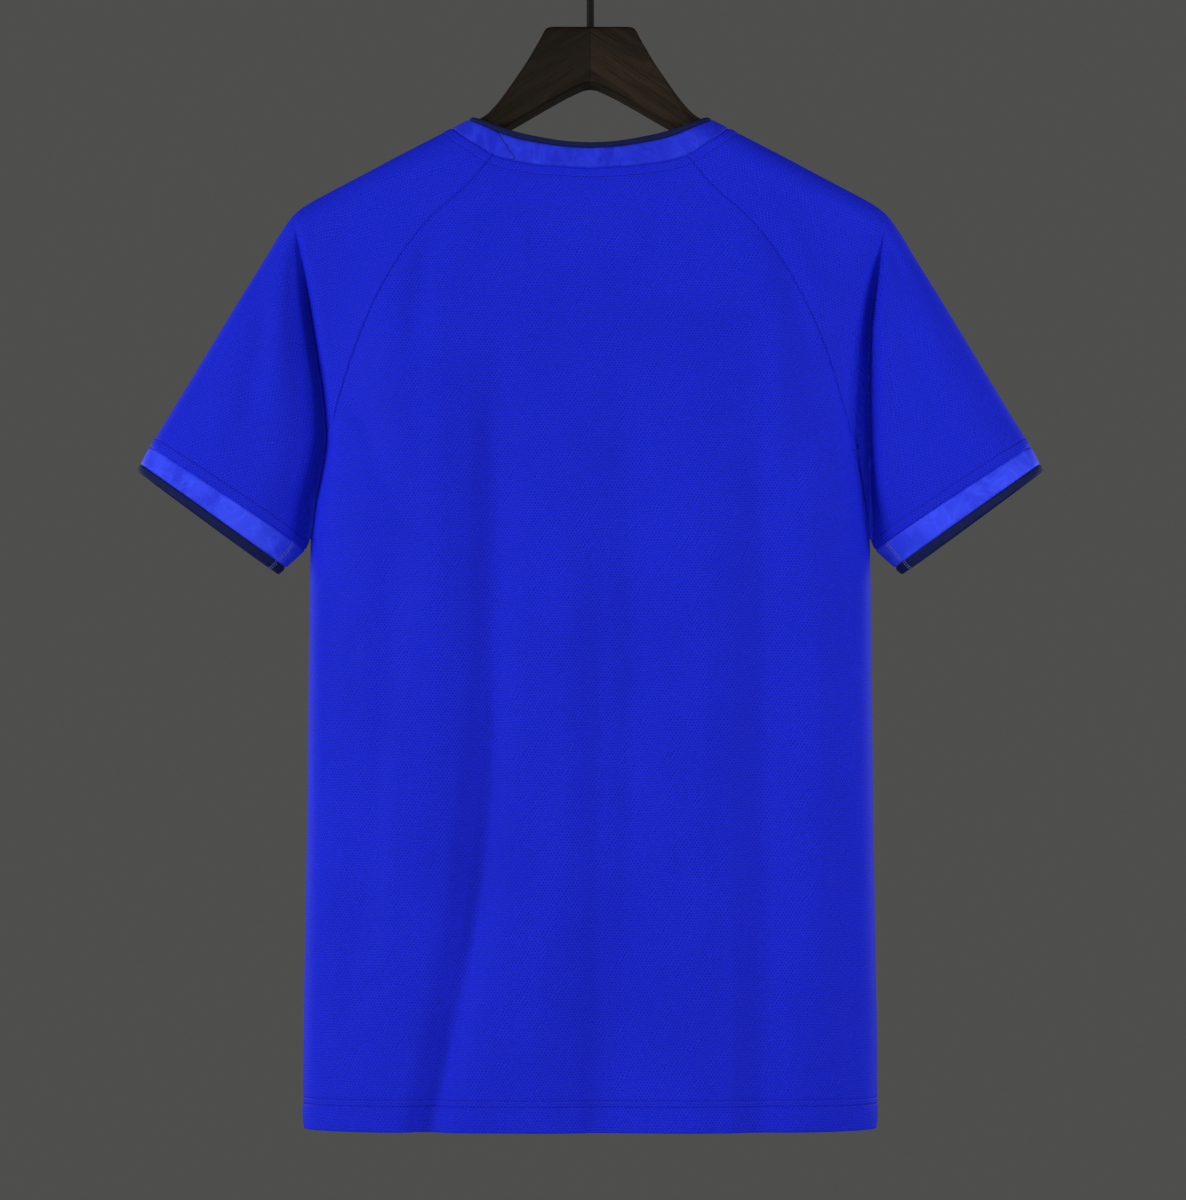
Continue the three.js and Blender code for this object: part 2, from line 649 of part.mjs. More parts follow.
// A closed mesh as a solid that can be joined or cut
function toSolid(wasm, geometry) {
  const plain = geometry.clone();
  plain.deleteAttribute('normal');
  plain.deleteAttribute('uv');
  const merged = mergeVertices(plain, 1e-4);
  return new wasm.Manifold(new wasm.Mesh({
    numProp: 3,
    vertProperties: merged.attributes.position.array,
    triVerts: Uint32Array.from(merged.index.array),
  }));
}

function fromSolid(solid) {
  const mesh = solid.getMesh();
  const geometry = new THREE.BufferGeometry();
  geometry.setAttribute('position', new THREE.BufferAttribute(mesh.vertProperties, 3));
  geometry.setIndex(new THREE.BufferAttribute(mesh.triVerts, 1));
  geometry.computeVertexNormals();
  return geometry;
}

// The wooden hanger, with the blind hole that takes the hook's stem
function hangerMesh(wasm) {
  const right = armStations();
  const left = right.slice(1).reverse().map((station) => ({ ...station, x: -station.x }));
  const body = loftGeometry([...left, ...right].map(hangerRing));
  const radius = hook.wire / 2 + socket.clearance;
  const drill = new THREE.CylinderGeometry(radius, radius, 2 * socket.depth, socket.sides);
  drill.rotateX(Math.PI / 2);
  drill.translate(0, 0, hangerStations[0].top);
  const geometry = fromSolid(toSolid(wasm, body).subtract(toSolid(wasm, drill)));
  const mesh = new THREE.Mesh(geometry, finishes.walnut);
  mesh.name = 'hanger_wood';
  return mesh;
}

// The hook's middle line: up the stem, out to one side, and round over the rail
function hookPath() {
  const reach = (hook.rail + hook.wire) / 2;
  const centre = -hook.rail / 2;
  const points = [
    new THREE.Vector3(0, 0, hook.stemFoot),
    new THREE.Vector3(0, 0, mix(hook.stemFoot, hook.stemTop, 0.6)),
    new THREE.Vector3(0, 0, hook.stemTop),
  ];
  for (let angle = hookTurn.from; angle <= hookTurn.to; angle += hookTurn.step) {
    const bearing = THREE.MathUtils.degToRad(angle);
    const x = reach * Math.cos(bearing);
    points.push(new THREE.Vector3(x, 0, centre + reach * Math.sin(bearing)));
  }
  return new THREE.CatmullRomCurve3(points, false, 'centripetal');
}

function hookMesh() {
  const outline = new THREE.Shape();
  outline.absarc(0, 0, hook.wire / 2, 0, Math.PI * 2, false);
  const geometry = new THREE.ExtrudeGeometry(outline, {
    steps: hook.divisions,
    curveSegments: hook.sides / 2,
    extrudePath: hookPath(),
  });
  const mesh = new THREE.Mesh(geometry, finishes.steel);
  mesh.name = 'hanger_hook';
  return mesh;
}

const wasm = await Module();
wasm.setup();

const jersey = new THREE.Group();
jersey.add(...clothMeshes(), hangerMesh(wasm), hookMesh());

export default jersey;
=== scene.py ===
import math
from collections import namedtuple

import bpy
import numpy as np
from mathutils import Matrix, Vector


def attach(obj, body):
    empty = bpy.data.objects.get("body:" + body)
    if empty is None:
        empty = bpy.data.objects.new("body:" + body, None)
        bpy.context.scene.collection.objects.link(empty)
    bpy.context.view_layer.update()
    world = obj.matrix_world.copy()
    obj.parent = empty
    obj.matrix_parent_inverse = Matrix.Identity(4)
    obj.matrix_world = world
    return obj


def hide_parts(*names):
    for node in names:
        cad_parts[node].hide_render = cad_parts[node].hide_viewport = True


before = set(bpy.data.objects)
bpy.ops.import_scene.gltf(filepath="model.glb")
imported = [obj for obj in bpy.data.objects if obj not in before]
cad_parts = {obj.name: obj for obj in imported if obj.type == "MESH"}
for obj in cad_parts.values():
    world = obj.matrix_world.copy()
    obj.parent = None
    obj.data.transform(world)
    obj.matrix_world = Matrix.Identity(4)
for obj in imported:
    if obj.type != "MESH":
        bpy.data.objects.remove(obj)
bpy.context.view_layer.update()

# A raglan football jersey, hung on a wooden hanger and seen from behind. Sizes are in
# millimetres until a mesh is made, +Z up, with the origin inside the top of the hook.
# The back of the jersey faces +Y, its front -Y, and the wearer's left is +X.
MM = 0.001

# Driving sizes
HEM_Z = -886.5
UNDERARM = (204.3, -460.0)
SHOULDER_TIP = (217.5, -220.1)
NECK_END = (102.1, -156.0)
COLLAR_END = (86.5, -148.0)
COLLAR_TRIM_SHARE = 0.215
CUFF_SEAM_OUTER_X, CUFF_SEAM_INNER = 322.2, (208.3, -467.7)
CUFF_EDGE_OUTER_X, CUFF_EDGE_INNER = 331.3, (228.2, -485.6)
CUFF_TRIM_SHARE = 0.27

# The cloth over the hanger: a round ridge that flares into the hollow of the body
RIDGE_NECK, RIDGE_TIP, SLOPE_COSINE = 18.0, 21.0, 0.883
BODY_HALF, FLARE_LENGTH, SIDE_SQUARENESS = 58.0, 120.0, 4.0
SOFT_SIDE, SOFT_ABOVE, SOFT_ENDS = 0.34, -320.0, -445.0
VALLEY_POWER, VALLEY_ROOT = 3.0, 0.6
SLEEVE_HALF, SLEEVE_SQUARENESS, SLEEVE_RISE = 34.0, 2.4, 18.0
FOLD_EASE, FOLD_ENDS = 20.0, 0.3
VALLEY_BEND, PAST_VALLEY_BEND = 3, 2

# The crease beside each sleeve, softer on its +X side; the right one lies past the valley
CREASE_PINCH, CREASE_LEAST, CREASE_ROUND = 0.92, 1.6, 0.4
CREASE_SOFT, CREASE_SHARP = 7.4, 2.6
RIGHT_CREASE = [
    (-474, 206), (-440, 205.5), (-400, 204.6), (-350, 204.2), (-311, 204.6), (-283, 207.5),
    (-220.1, 217.5),
]
CREASE_STARTS, CREASE_FULL, CREASE_FADES, CREASE_ENDS = -215.0, -300.0, -448.0, -474.0

# x, z along the shoulder ridge, then the sleeve's upper fold
SHOULDER_LINE = [
    (0, -117), (30, -121.5), (60, -134), COLLAR_END, NECK_END, (139.7, -175.6),
    (166.9, -190.3), (194.8, -205.2), (208, -212.7), SHOULDER_TIP, (228.4, -235),
    (237.2, -249.9), (257.5, -283.3), (283.9, -327.7), (310.3, -372.1),
    (CUFF_SEAM_OUTER_X, -392), (CUFF_EDGE_OUTER_X, -409.9),
]
# z, x of the side seam, then up the valley beside the sleeve
SIDE_LINE = [
    (HEM_Z, 206.2), (-875, 207.3), (-838, 207.4), (-751, 206.5), (-665, 205.6), (-533, 204.9),
    (-460, 204.3), (-438, 202.3), (-416, 198), (-386, 194), (-355, 196.5), (-320, 202),
    (-283, 207.5), (-246, 213), (-220.1, 217.5),
]
# z, x up each raglan seam, and x, z along each neck seam and the collar's upper edge
BACK_RAGLAN = [
    (-460, 204.3), (-435, 199.5), (-412, 194.5), (-392, 191.2), (-378.4, 188.2), (-361, 183.1),
    (-334.5, 175), (-307.7, 165), (-281.4, 153.2), (-254.8, 137.7), (-227.9, 117.5),
    (-201.5, 89.3), (-179.4, 71),
]
BACK_NECK = [
    (0, -190.2), (32.6, -188), (57.5, -183.9), (71, -179.4), (85.3, -170.2), (95.4, -163.2),
    NECK_END,
]
BACK_COLLAR = [
    (0, -170.4), (12.9, -169.8), (42.9, -164.9), (65.2, -158.3), (78, -152.5), COLLAR_END,
]
FRONT_RAGLAN = [
    (-460, 204.3), (-435, 199.5), (-405, 193), (-378, 187), (-345, 177), (-310, 163),
    (-275, 145), (-242, 122.5), (-215, 99.5), (-190.4, 78),
]
FRONT_NECK = [
    (0, -239), (25, -235.5), (48, -224), (66, -207), (78, -190.4), (92, -169.3), NECK_END,
]
FRONT_COLLAR = [
    (0, -219), (20, -216), (38, -207), (54, -191.5), (67, -174.5), (78, -158.8), COLLAR_END,
]

# Folds through three places (x, z), with their width and rise; a negative rise is a trough
Fold = namedtuple("Fold", "top middle bottom width rise")
BACK_FOLDS = [
    ((108, -280), (112, -560), (134, -800), 17, 2.8),
    ((18, -310), (20, -580), (38, -920), 18, 2.8),
    ((-78, -290), (-80, -580), (-70, -920), 18, 2.8),
    ((-158, -400), (-168, -620), (-162, -850), 15, 2.6),
    ((64, -250), (68, -620), (116, -900), 16, -7.0),
    ((-26, -290), (-31, -560), (-13, -920), 16, -4.6),
    ((-119, -280), (-126, -560), (-124, -920), 15, -5.0),
    ((140, -400), (150, -620), (172, -860), 13, -3.2),
    ((98, -214), (120, -262), (130, -352), 10, -3.4),
    ((-116, -212), (-143, -262), (-158, -372), 10, -3.2),
    ((178, -350), (160, -386), (142, -450), 10, -2.4),
    ((-170, -346), (-152, -392), (-138, -450), 10, -2.4),
    ((233, -252), (243, -320), (247, -396), 10, -3.0),
    ((-222, -234), (-230, -290), (-240, -370), 10, -3.0),
]
FRONT_FOLDS = [
    ((44, -282), (58, -580), (62, -920), 19, 3.2),
    ((-52, -288), (-56, -560), (-66, -920), 18, 3.2),
    ((136, -320), (144, -580), (150, -840), 17, 2.8),
    ((-132, -310), (-140, -560), (-156, -820), 17, 2.8),
    ((2, -260), (6, -580), (2, -920), 16, -5.2),
    ((94, -260), (100, -580), (112, -920), 15, -5.0),
    ((-92, -252), (-98, -560), (-114, -920), 16, -5.6),
    ((176, -350), (158, -390), (138, -452), 10, -3.0),
    ((-178, -348), (-160, -388), (-142, -456), 10, -3.0),
    ((230, -250), (240, -320), (250, -392), 10, -3.0),
    ((-228, -246), (-240, -316), (-252, -390), 10, -3.0),
]
# Finer creases, which only the cloth's surface has
BACK_CREASES = [
    ((71, -330), (73, -480), (76, -640), 9, -2.2),
    ((70, -540), (85, -720), (117, -900), 12, -4.8),
    ((171, -470), (171, -640), (175, -860), 11, -2.2),
    ((-8, -420), (-6, -640), (-2, -920), 9, -2.0),
    ((-113, -420), (-116, -640), (-112, -920), 9, -1.8),
    ((133, -314), (139, -332), (146, -352), 5, -1.1),
    ((176, -704), (180, -726), (186, -760), 6, -0.9),
    ((140, -768), (162, -792), (188, -824), 7, -1.2),
    ((-60, -212), (-50, -228), (-42, -256), 6, -0.9),
    ((60, -214), (52, -236), (47, -272), 7, 0.7),
    ((-178, -420), (-184, -490), (-180, -580), 6, -1.0),
    ((182, -480), (186, -540), (182, -640), 6, -0.8),
    ((34, -420), (30, -560), (26, -720), 9, -0.8),
    ((-46, -480), (-54, -640), (-56, -860), 10, 0.9),
    ((52, -480), (54, -660), (60, -860), 10, 1.1),
    ((108, -300), (112, -420), (112, -560), 9, 1.0),
    ((138, -560), (142, -680), (142, -800), 8, 1.0),
    ((96, -620), (100, -700), (90, -860), 8, 0.8),
    ((-100, -640), (-104, -740), (-98, -910), 8, 0.9),
    ((205, -234), (211, -262), (208, -306), 3, 1.4),
    ((-210, -236), (-214, -262), (-212, -300), 3, 1.4),
    ((-217, -238), (-222, -254), (-226, -272), 3, -1.6),
    ((234, -288), (238, -318), (236, -352), 6, -1.2),
    ((-205, -268), (-236, -330), (-262, -404), 8, -1.4),
    ((-208, -280), (-218, -350), (-226, -430), 8, 1.2),
    ((262, -330), (270, -372), (268, -420), 9, 0.9),
    ((-266, -320), (-276, -372), (-270, -428), 9, 0.9),
]
FRONT_CREASES = [
    ((130, -322), (138, -340), (146, -362), 5, -1.1),
    ((-134, -300), (-140, -326), (-150, -350), 5, -1.0),
    ((40, -262), (30, -300), (26, -360), 8, -0.9),
    ((-36, -264), (-26, -310), (-28, -380), 8, -0.9),
    ((178, -440), (184, -520), (180, -620), 6, -0.9),
    ((-180, -470), (-186, -560), (-182, -680), 6, -0.8),
    ((76, -560), (82, -700), (78, -880), 8, 0.8),
    ((-20, -480), (-26, -640), (-22, -860), 8, 0.8),
    ((-140, -760), (-160, -792), (-184, -836), 7, -1.1),
    ((262, -332), (268, -372), (266, -424), 9, 0.9),
    ((-262, -326), (-272, -372), (-268, -426), 9, 0.9),
]
FOLDS = {"back": BACK_FOLDS + BACK_CREASES, "front": FRONT_FOLDS + FRONT_CREASES}

# Cloth, seams and stitches
BODY_WALL, BAND_WALL = 1.1, 2.0
SEAM_DIP, SEAM_WIDTH = 1.0, 0.95
TOPSTITCH, STITCH_DIP, STITCH_WIDTH = 7.3, 0.55, 0.65
ALLOWANCE_RISE, ALLOWANCE_ENDS, ALLOWANCE_FULL = 0.4, 1.2, 0.2
CUFF_CREASE, CUFF_CREASE_DIP, CUFF_CREASE_WIDTH = 2.2, 0.18, 0.6
HEM_ROWS, HEM_DIPS, HEM_RISE, HEM_STEP = (18.2, 22.9), (0.6, 0.3), 0.35, 0.9
HEM_DOUBLE, HEM_DOUBLE_ENDS, HEM_DOUBLE_FULL = 0.9, 1.4, 0.6
BAND_CROWN, TRIM_CROWN, CROWN_POWER, BAND_SEAM_SHARPNESS = 0.3, 0.45, 4, 1.6
THREAD, STITCH_LENGTH, STITCH_PITCH, STITCH_LIFT, STITCH_SINK = 0.17, 2.3, 2.7, 0.9, 5.2
CUFF_JOIN, COLLAR_JOIN, JOIN_DIP, JOIN_WIDTH = 13.0, 176.0, 0.5, 0.9
CUFF_THREADS, COLLAR_THREADS = (CUFF_JOIN + 1.2, CUFF_JOIN + 3.2), (COLLAR_JOIN - 1.0,)
JOIN_THREAD, JOIN_PITCH = 0.26, 1.5
SLEEVE_GRAIN, WOOD_GRAIN = math.radians(42), math.radians(34)

# How finely the pieces are divided
PANEL_COLUMNS, COLLAR_COLUMNS, SLEEVE_COLUMNS = 169, 191, 74
BAND_ROWS, TRIM_ROWS = 18, 14
ARM_STATIONS, CORNER_POINTS, ARM_END_POINTS = 12, 11, 20
STEM_POINTS, BEND_POINTS, HOOK_STEP, HOOK_SIDES, HOOK_CAP_POINTS = 12, 10, 4, 28, 7
SMOOTH_CLOTH, SMOOTH_WOOD = math.radians(48), math.radians(40)

# The hanger from its middle to where its arm begins: x, top, bottom, half thickness
HANGER_STATIONS = [
    (0, -82, -124.5, 13), (4, -82, -125, 13), (9, -82, -127, 13), (18, -82, -131.4, 13),
    (27, -82, -136.4, 13), (31.5, -82.8, -139, 13), (34, -85.4, -140.4, 13),
    (36.5, -90.5, -141.9, 13), (40.4, -97.3, -144.2, 13), (46, -107, -147.5, 13),
    (52.2, -116.5, -151.2, 13), (58.4, -125.3, -155, 13), (64.6, -133.2, -159.2, 12.8),
    (71, -140.4, -164, 12.3),
]
ARM_FIRST, ARM_LAST, ARM_HEIGHT, ARM_TIP_HEIGHT, ARM_INSIDE = 78.0, 206.0, 24.0, 18.0, 8.0
ARM_UNDER_COLLAR, ARM_UNDER_CLOTH, ARM_CHANGE = 2.7, 1.95, 12.0
ARM_END, ARM_END_SCALE = 6.0, 0.46
CORNER, ARM_ROUNDNESS, CORNER_HOLD, PLAIN_UNTIL = 2.4, 0.97, 0.12, 52.0
WIRE, RAIL, STEM_FOOT, STEM_TOP = 5.8, 40.0, -104.0, -58.0
HOOK_FROM, HOOK_TO, HOOK_PULL = -62.0, 183.0, 1.25

CAMERA_PLACE, CAMERA_RISE, LENS, SENSOR = (-0.002, 2.6, -0.7043), 200 / 2600, 108.44, 36.0
STUDIO_MIDDLE, FLOOR_Z, FLOOR_HALF = -0.5, -1.95, 9.0
WORLD_GREY = (0.0765, 0.0765, 0.0745, 1)


def mix(a, b, share):
    return a + (b - a) * share


def smooth_step(start, stop, value):
    share = np.clip((value - start) / (stop - start), 0.0, 1.0)
    return share * share * (3 - 2 * share)


def unit(vectors):
    return vectors / np.maximum(np.linalg.norm(vectors, axis=-1, keepdims=True), 1e-9)


def curve_through(points):
    """A smooth curve through (place, value) points that never overshoots them."""
    at, value = np.array(sorted(points), dtype=float).T
    slope = np.diff(value) / np.diff(at)
    product = slope[:-1] * slope[1:]
    total = np.where(product > 0, slope[:-1] + slope[1:], 1.0)
    middle = np.where(product > 0, 2 * product / total, 0.0)
    tangent = np.concatenate([slope[:1], middle, slope[-1:]])

    def curve(place):
        p = np.clip(place, at[0], at[-1])
        i = np.clip(np.searchsorted(at, p, side="right") - 1, 0, len(at) - 2)
        span = at[i + 1] - at[i]
        t = (p - at[i]) / span
        rise = value[i + 1] - value[i]
        bend = (1 - t) * (tangent[i] * span - rise) - t * (tangent[i + 1] * span - rise)
        return value[i] + rise * t + t * (1 - t) * bend

    return curve


shoulder_z = curve_through(SHOULDER_LINE)
side_x = curve_through(SIDE_LINE)
right_crease_x = curve_through(RIGHT_CREASE)
Face = namedtuple("Face", "sign raglan raglan_top neck collar")


def make_face(sign, raglan, neck, collar):
    top_z, top_x = raglan[-1]
    curves = [curve_through(line) for line in (raglan, neck, collar)]
    return Face(sign, curves[0], (top_x, top_z), curves[1], curves[2])


FACES = {
    "back": make_face(1, BACK_RAGLAN, BACK_NECK, BACK_COLLAR),
    "front": make_face(-1, FRONT_RAGLAN, FRONT_NECK, FRONT_COLLAR),
}


def body_height(x, z):
    """Half the thickness of the hung cloth at a place of the body, without its folds."""
    out = np.abs(x)
    below = np.maximum(0, shoulder_z(out) - z) * SLOPE_COSINE
    radius = mix(RIDGE_NECK, RIDGE_TIP, np.clip(out / SHOULDER_TIP[0], 0, 1))
    on_ridge = np.sqrt(np.maximum(0, radius ** 2 - np.maximum(0, radius - below) ** 2))
    reach = (below / FLARE_LENGTH) ** 2
    full = on_ridge + (BODY_HALF - radius) * reach / (1 + reach)
    down = np.clip((SHOULDER_TIP[1] - z) / (SHOULDER_TIP[1] - UNDERARM[1]), 0, 1)
    valley = np.minimum(full, radius * (1 - down ** VALLEY_POWER) ** VALLEY_ROOT)
    share = np.clip(out / side_x(z), 0, 1)
    soft = smooth_step(0, SOFT_SIDE, 1 - share)
    sharp = np.sqrt(np.maximum(0, 1 - share ** SIDE_SQUARENESS))
    side = mix(soft, sharp, smooth_step(SOFT_ABOVE, SOFT_ENDS, z))
    return valley + (full - valley) * side


def fold_height(face, x, z, height):
    """What the folds and creases add to one face, fading to nothing at the outline."""
    total = np.zeros_like(height)
    for fold in map(Fold._make, FOLDS[face]):
        middle = curve_through([(z0, x0) for x0, z0 in (fold.top, fold.middle, fold.bottom)])
        length = fold.bottom[1] - fold.top[1]
        slope = (fold.bottom[0] - fold.top[0]) / length
        along = (z - fold.top[1]) / length
        across = (x - middle(z)) / math.hypot(1, slope)
        lower = 1.0 if fold.bottom[1] < HEM_Z else smooth_step(0, FOLD_ENDS, 1 - along)
        ends = smooth_step(0, FOLD_ENDS, along) * lower
        total += ends * fold.rise * np.exp(-((across / fold.width) ** 2))
    return smooth_step(0, FOLD_EASE, height) * total


def pinched(x, z, height):
    """Draws the cloth in along the valley beside the sleeve."""
    away = np.abs(x) - np.where(x > 0, side_x(z), right_crease_x(z))
    width = np.where((away > 0) == (x > 0), CREASE_SOFT, CREASE_SHARP)
    reach = smooth_step(CREASE_STARTS, CREASE_FULL, z) * smooth_step(CREASE_ENDS, CREASE_FADES, z)
    pinch = CREASE_PINCH * reach * np.exp((CREASE_ROUND - np.hypot(away, CREASE_ROUND)) / width)
    return np.maximum(height * (1 - pinch), np.minimum(height, CREASE_LEAST))


def on_face(face, x, z, height):
    x, z, height = np.broadcast_arrays(x, z, height)
    out = pinched(x, z, height + fold_height(face, x, z, height))
    return np.stack([x, FACES[face].sign * out, z], axis=-1)


def body_points(face, x, z):
    return on_face(face, x, z, body_height(x, z))


def leaving(share):
    """Fades from 1 to 0 and starts level, so that the first rows run parallel to an edge."""
    return (1 - share) ** 2 * (1 + 2 * share)


def crowded(first, last, ratio):
    """Distances that grow by a steady ratio."""
    count = math.ceil(math.log(last / first) / math.log(ratio))
    return first * (last / first) ** (np.arange(count + 1) / count)


def half_shares(count):
    return (1 - np.cos(np.linspace(0, math.pi, count + 1))) / 2


NEAR_SEAM = np.array([0, 0.3, 0.6, 0.9, 1.3, 1.8, 2.5, 3.3, 4.2])
NEAR_VALLEY = np.array([10.6, 9.2, 8, 7, 6.1, 5.2, 4.3, 3.5, 2.8, 2.2, 1.7, 1.2, 0.8, 0.4])


def panel_grid(face):
    """Rows of the front or back panel from the hem up, each from -X to +X."""
    shape = FACES[face]
    top_x, top_z = shape.raglan_top
    across = np.sin(np.linspace(-1, 1, PANEL_COLUMNS) * math.pi / 2)[None, :]
    near_hem = [0, 0.12, 0.4, 0.8, 1.3, 2, 3.2, 5, 8, 11, 14, 16]
    stitched = np.arange(16.6, 25.4, 0.35)
    rise = UNDERARM[1] - HEM_Z
    heights = np.concatenate([near_hem, stitched, np.arange(29, rise - 2, 4)])
    z = np.repeat((HEM_Z + heights)[:, None], across.shape[1], axis=1)
    lower = body_points(face, across * side_x(z), z)
    length = top_z - UNDERARM[1]
    near_neck = np.concatenate([NEAR_SEAM, np.arange(4.6, 9.6, 0.4)])
    share = np.concatenate([near_neck, np.arange(12, length, 3.9), [length]])[::-1, None] / length
    edge_z = mix(top_z, UNDERARM[1], share)
    dip = shape.neck(np.abs(across) * top_x) - top_z
    upper = body_points(face, across * shape.raglan(edge_z), edge_z + leaving(share) * dip)
    return np.concatenate([lower, upper], axis=0)


def yoke_half(face, side, share, down):
    """Rows of the sleeve from the neck seam (share 0) to the valley (1), on one face."""
    shape = FACES[face]
    share, down = share[:, None], down[None, :]
    ridge_x = mix(NECK_END[0], SHOULDER_TIP[0], share)
    low_z = mix(shape.raglan_top[1], UNDERARM[1], share)
    neck_x = mix(NECK_END[0], shape.raglan_top[0], down)
    neck_bend = leaving(share) * (shape.neck(neck_x) - mix(NECK_END[1], shape.raglan_top[1], down))
    valley_z = mix(SHOULDER_TIP[1], UNDERARM[1], down)
    off_line = side_x(valley_z) - mix(SHOULDER_TIP[0], UNDERARM[0], down)
    valley_bend = share ** VALLEY_BEND * off_line
    x = mix(ridge_x, shape.raglan(low_z), down) + valley_bend
    z = mix(shoulder_z(ridge_x), low_z, down) + neck_bend
    return body_points(face, side * x, z)


def sleeve_half(face, side, along, down):
    """Rows between the valley (along 0), the cuff's seam (1) and the cuff's edge (2)."""
    along, down = along[:, None], down[None, :]
    on_sleeve, on_cuff = np.minimum(1, along), np.maximum(0, along - 1)
    outer_x = mix(mix(SHOULDER_TIP[0], CUFF_SEAM_OUTER_X, on_sleeve), CUFF_EDGE_OUTER_X, on_cuff)
    inner_x = mix(mix(UNDERARM[0], CUFF_SEAM_INNER[0], on_sleeve), CUFF_EDGE_INNER[0], on_cuff)
    inner_z = mix(mix(UNDERARM[1], CUFF_SEAM_INNER[1], on_sleeve), CUFF_EDGE_INNER[1], on_cuff)
    valley_z = mix(SHOULDER_TIP[1], UNDERARM[1], down)
    valley_x = side_x(valley_z)
    bend = (1 - on_sleeve) ** PAST_VALLEY_BEND
    x = mix(outer_x, inner_x, down) + bend * (valley_x - mix(SHOULDER_TIP[0], UNDERARM[0], down))
    z = mix(shoulder_z(outer_x), inner_z, down)
    away = (x - valley_x) ** 2 + (z - valley_z) ** 2
    rise = away / (away + SLEEVE_RISE ** 2)
    roundness = np.sqrt(np.maximum(0, 1 - np.abs(2 * down - 1) ** SLEEVE_SQUARENESS))
    start = body_height(valley_x, valley_z)
    return on_face(face, side * x, z, start + (SLEEVE_HALF * roundness - start) * rise)


def both_halves(make_half):
    """Joins the back's rows, run up to the ridge, with the front's, run down from it."""
    return np.concatenate([make_half("back")[:, ::-1], make_half("front")[:, 1:]], axis=1)


SLEEVE_DOWN = half_shares(SLEEVE_COLUMNS)


def sleeve_grid(side):
    """Rows of a sleeve from the neck seam to the cuff, and the number of the first closed row."""
    ridge = SHOULDER_TIP[0] - NECK_END[0]
    near_neck = np.concatenate([NEAR_SEAM[:6] * 0.6, np.arange(1.4, 9.2, 0.3)])
    past_neck = np.arange(11, ridge - 10, 2.9)
    share = np.concatenate([near_neck, past_neck, ridge - NEAR_VALLEY, [ridge]]) / ridge
    reach = CUFF_SEAM_OUTER_X - SHOULDER_TIP[0]
    near_cuff = np.concatenate([NEAR_SEAM[:6] * 0.5, crowded(1.2, 42, 1.06)])
    past_cuff = np.arange(44, reach - 10, 2.4)
    along = 1 - np.concatenate([near_cuff, past_cuff, reach - NEAR_VALLEY])[::-1] / reach
    upper = both_halves(lambda face: yoke_half(face, side, share, SLEEVE_DOWN))
    lower = both_halves(lambda face: sleeve_half(face, side, along, SLEEVE_DOWN))
    return np.concatenate([upper, lower], axis=0), len(share)


def cuff_grid(side, start, stop, rows):
    along = mix(start, stop, half_shares(rows))
    return both_halves(lambda face: sleeve_half(face, side, along, SLEEVE_DOWN))


def collar_grid(start, stop, rows):
    """Rings between the neck seam (0) and the collar's upper edge (1), round both faces."""
    rise = mix(start, stop, half_shares(rows))[:, None]
    seam_x = NECK_END[0] * np.sin(np.linspace(-1, 1, COLLAR_COLUMNS) * math.pi / 2)[None, :]
    top_x = seam_x * COLLAR_END[0] / NECK_END[0]
    rings = []
    for face in ("back", "front"):
        shape = FACES[face]
        z = mix(shape.neck(np.abs(seam_x)), shape.collar(np.abs(top_x)), rise)
        rings.append(body_points(face, mix(seam_x, top_x, rise), z))
    return np.concatenate([rings[0], rings[1][:, ::-1][:, 1:]], axis=1)


def new_object(name, points, faces, corner_uv, smooth_angle=SMOOTH_CLOTH):
    """An object from points in millimetres and lists of faces, with UVs in metres."""
    mesh = bpy.data.meshes.new(name)
    corners = np.concatenate([group.ravel() for group in faces]).astype(np.int32)
    sizes = np.repeat([group.shape[1] for group in faces], [len(group) for group in faces])
    sizes = sizes.astype(np.int32)
    mesh.vertices.add(len(points))
    mesh.vertices.foreach_set("co", (points * MM).ravel())
    mesh.loops.add(len(corners))
    mesh.loops.foreach_set("vertex_index", corners)
    mesh.polygons.add(len(sizes))
    starts = np.concatenate([[0], np.cumsum(sizes)[:-1]]).astype(np.int32)
    mesh.polygons.foreach_set("loop_start", starts)
    mesh.polygons.foreach_set("use_smooth", np.ones(len(sizes), dtype=bool))
    mesh.uv_layers.new(name="UVMap").data.foreach_set("uv", (corner_uv * MM).ravel())
    mesh.update(calc_edges=True)
    mesh.set_sharp_from_angle(angle=smooth_angle)
    piece = bpy.data.objects.new(name, mesh)
    bpy.context.scene.collection.objects.link(piece)
    return piece


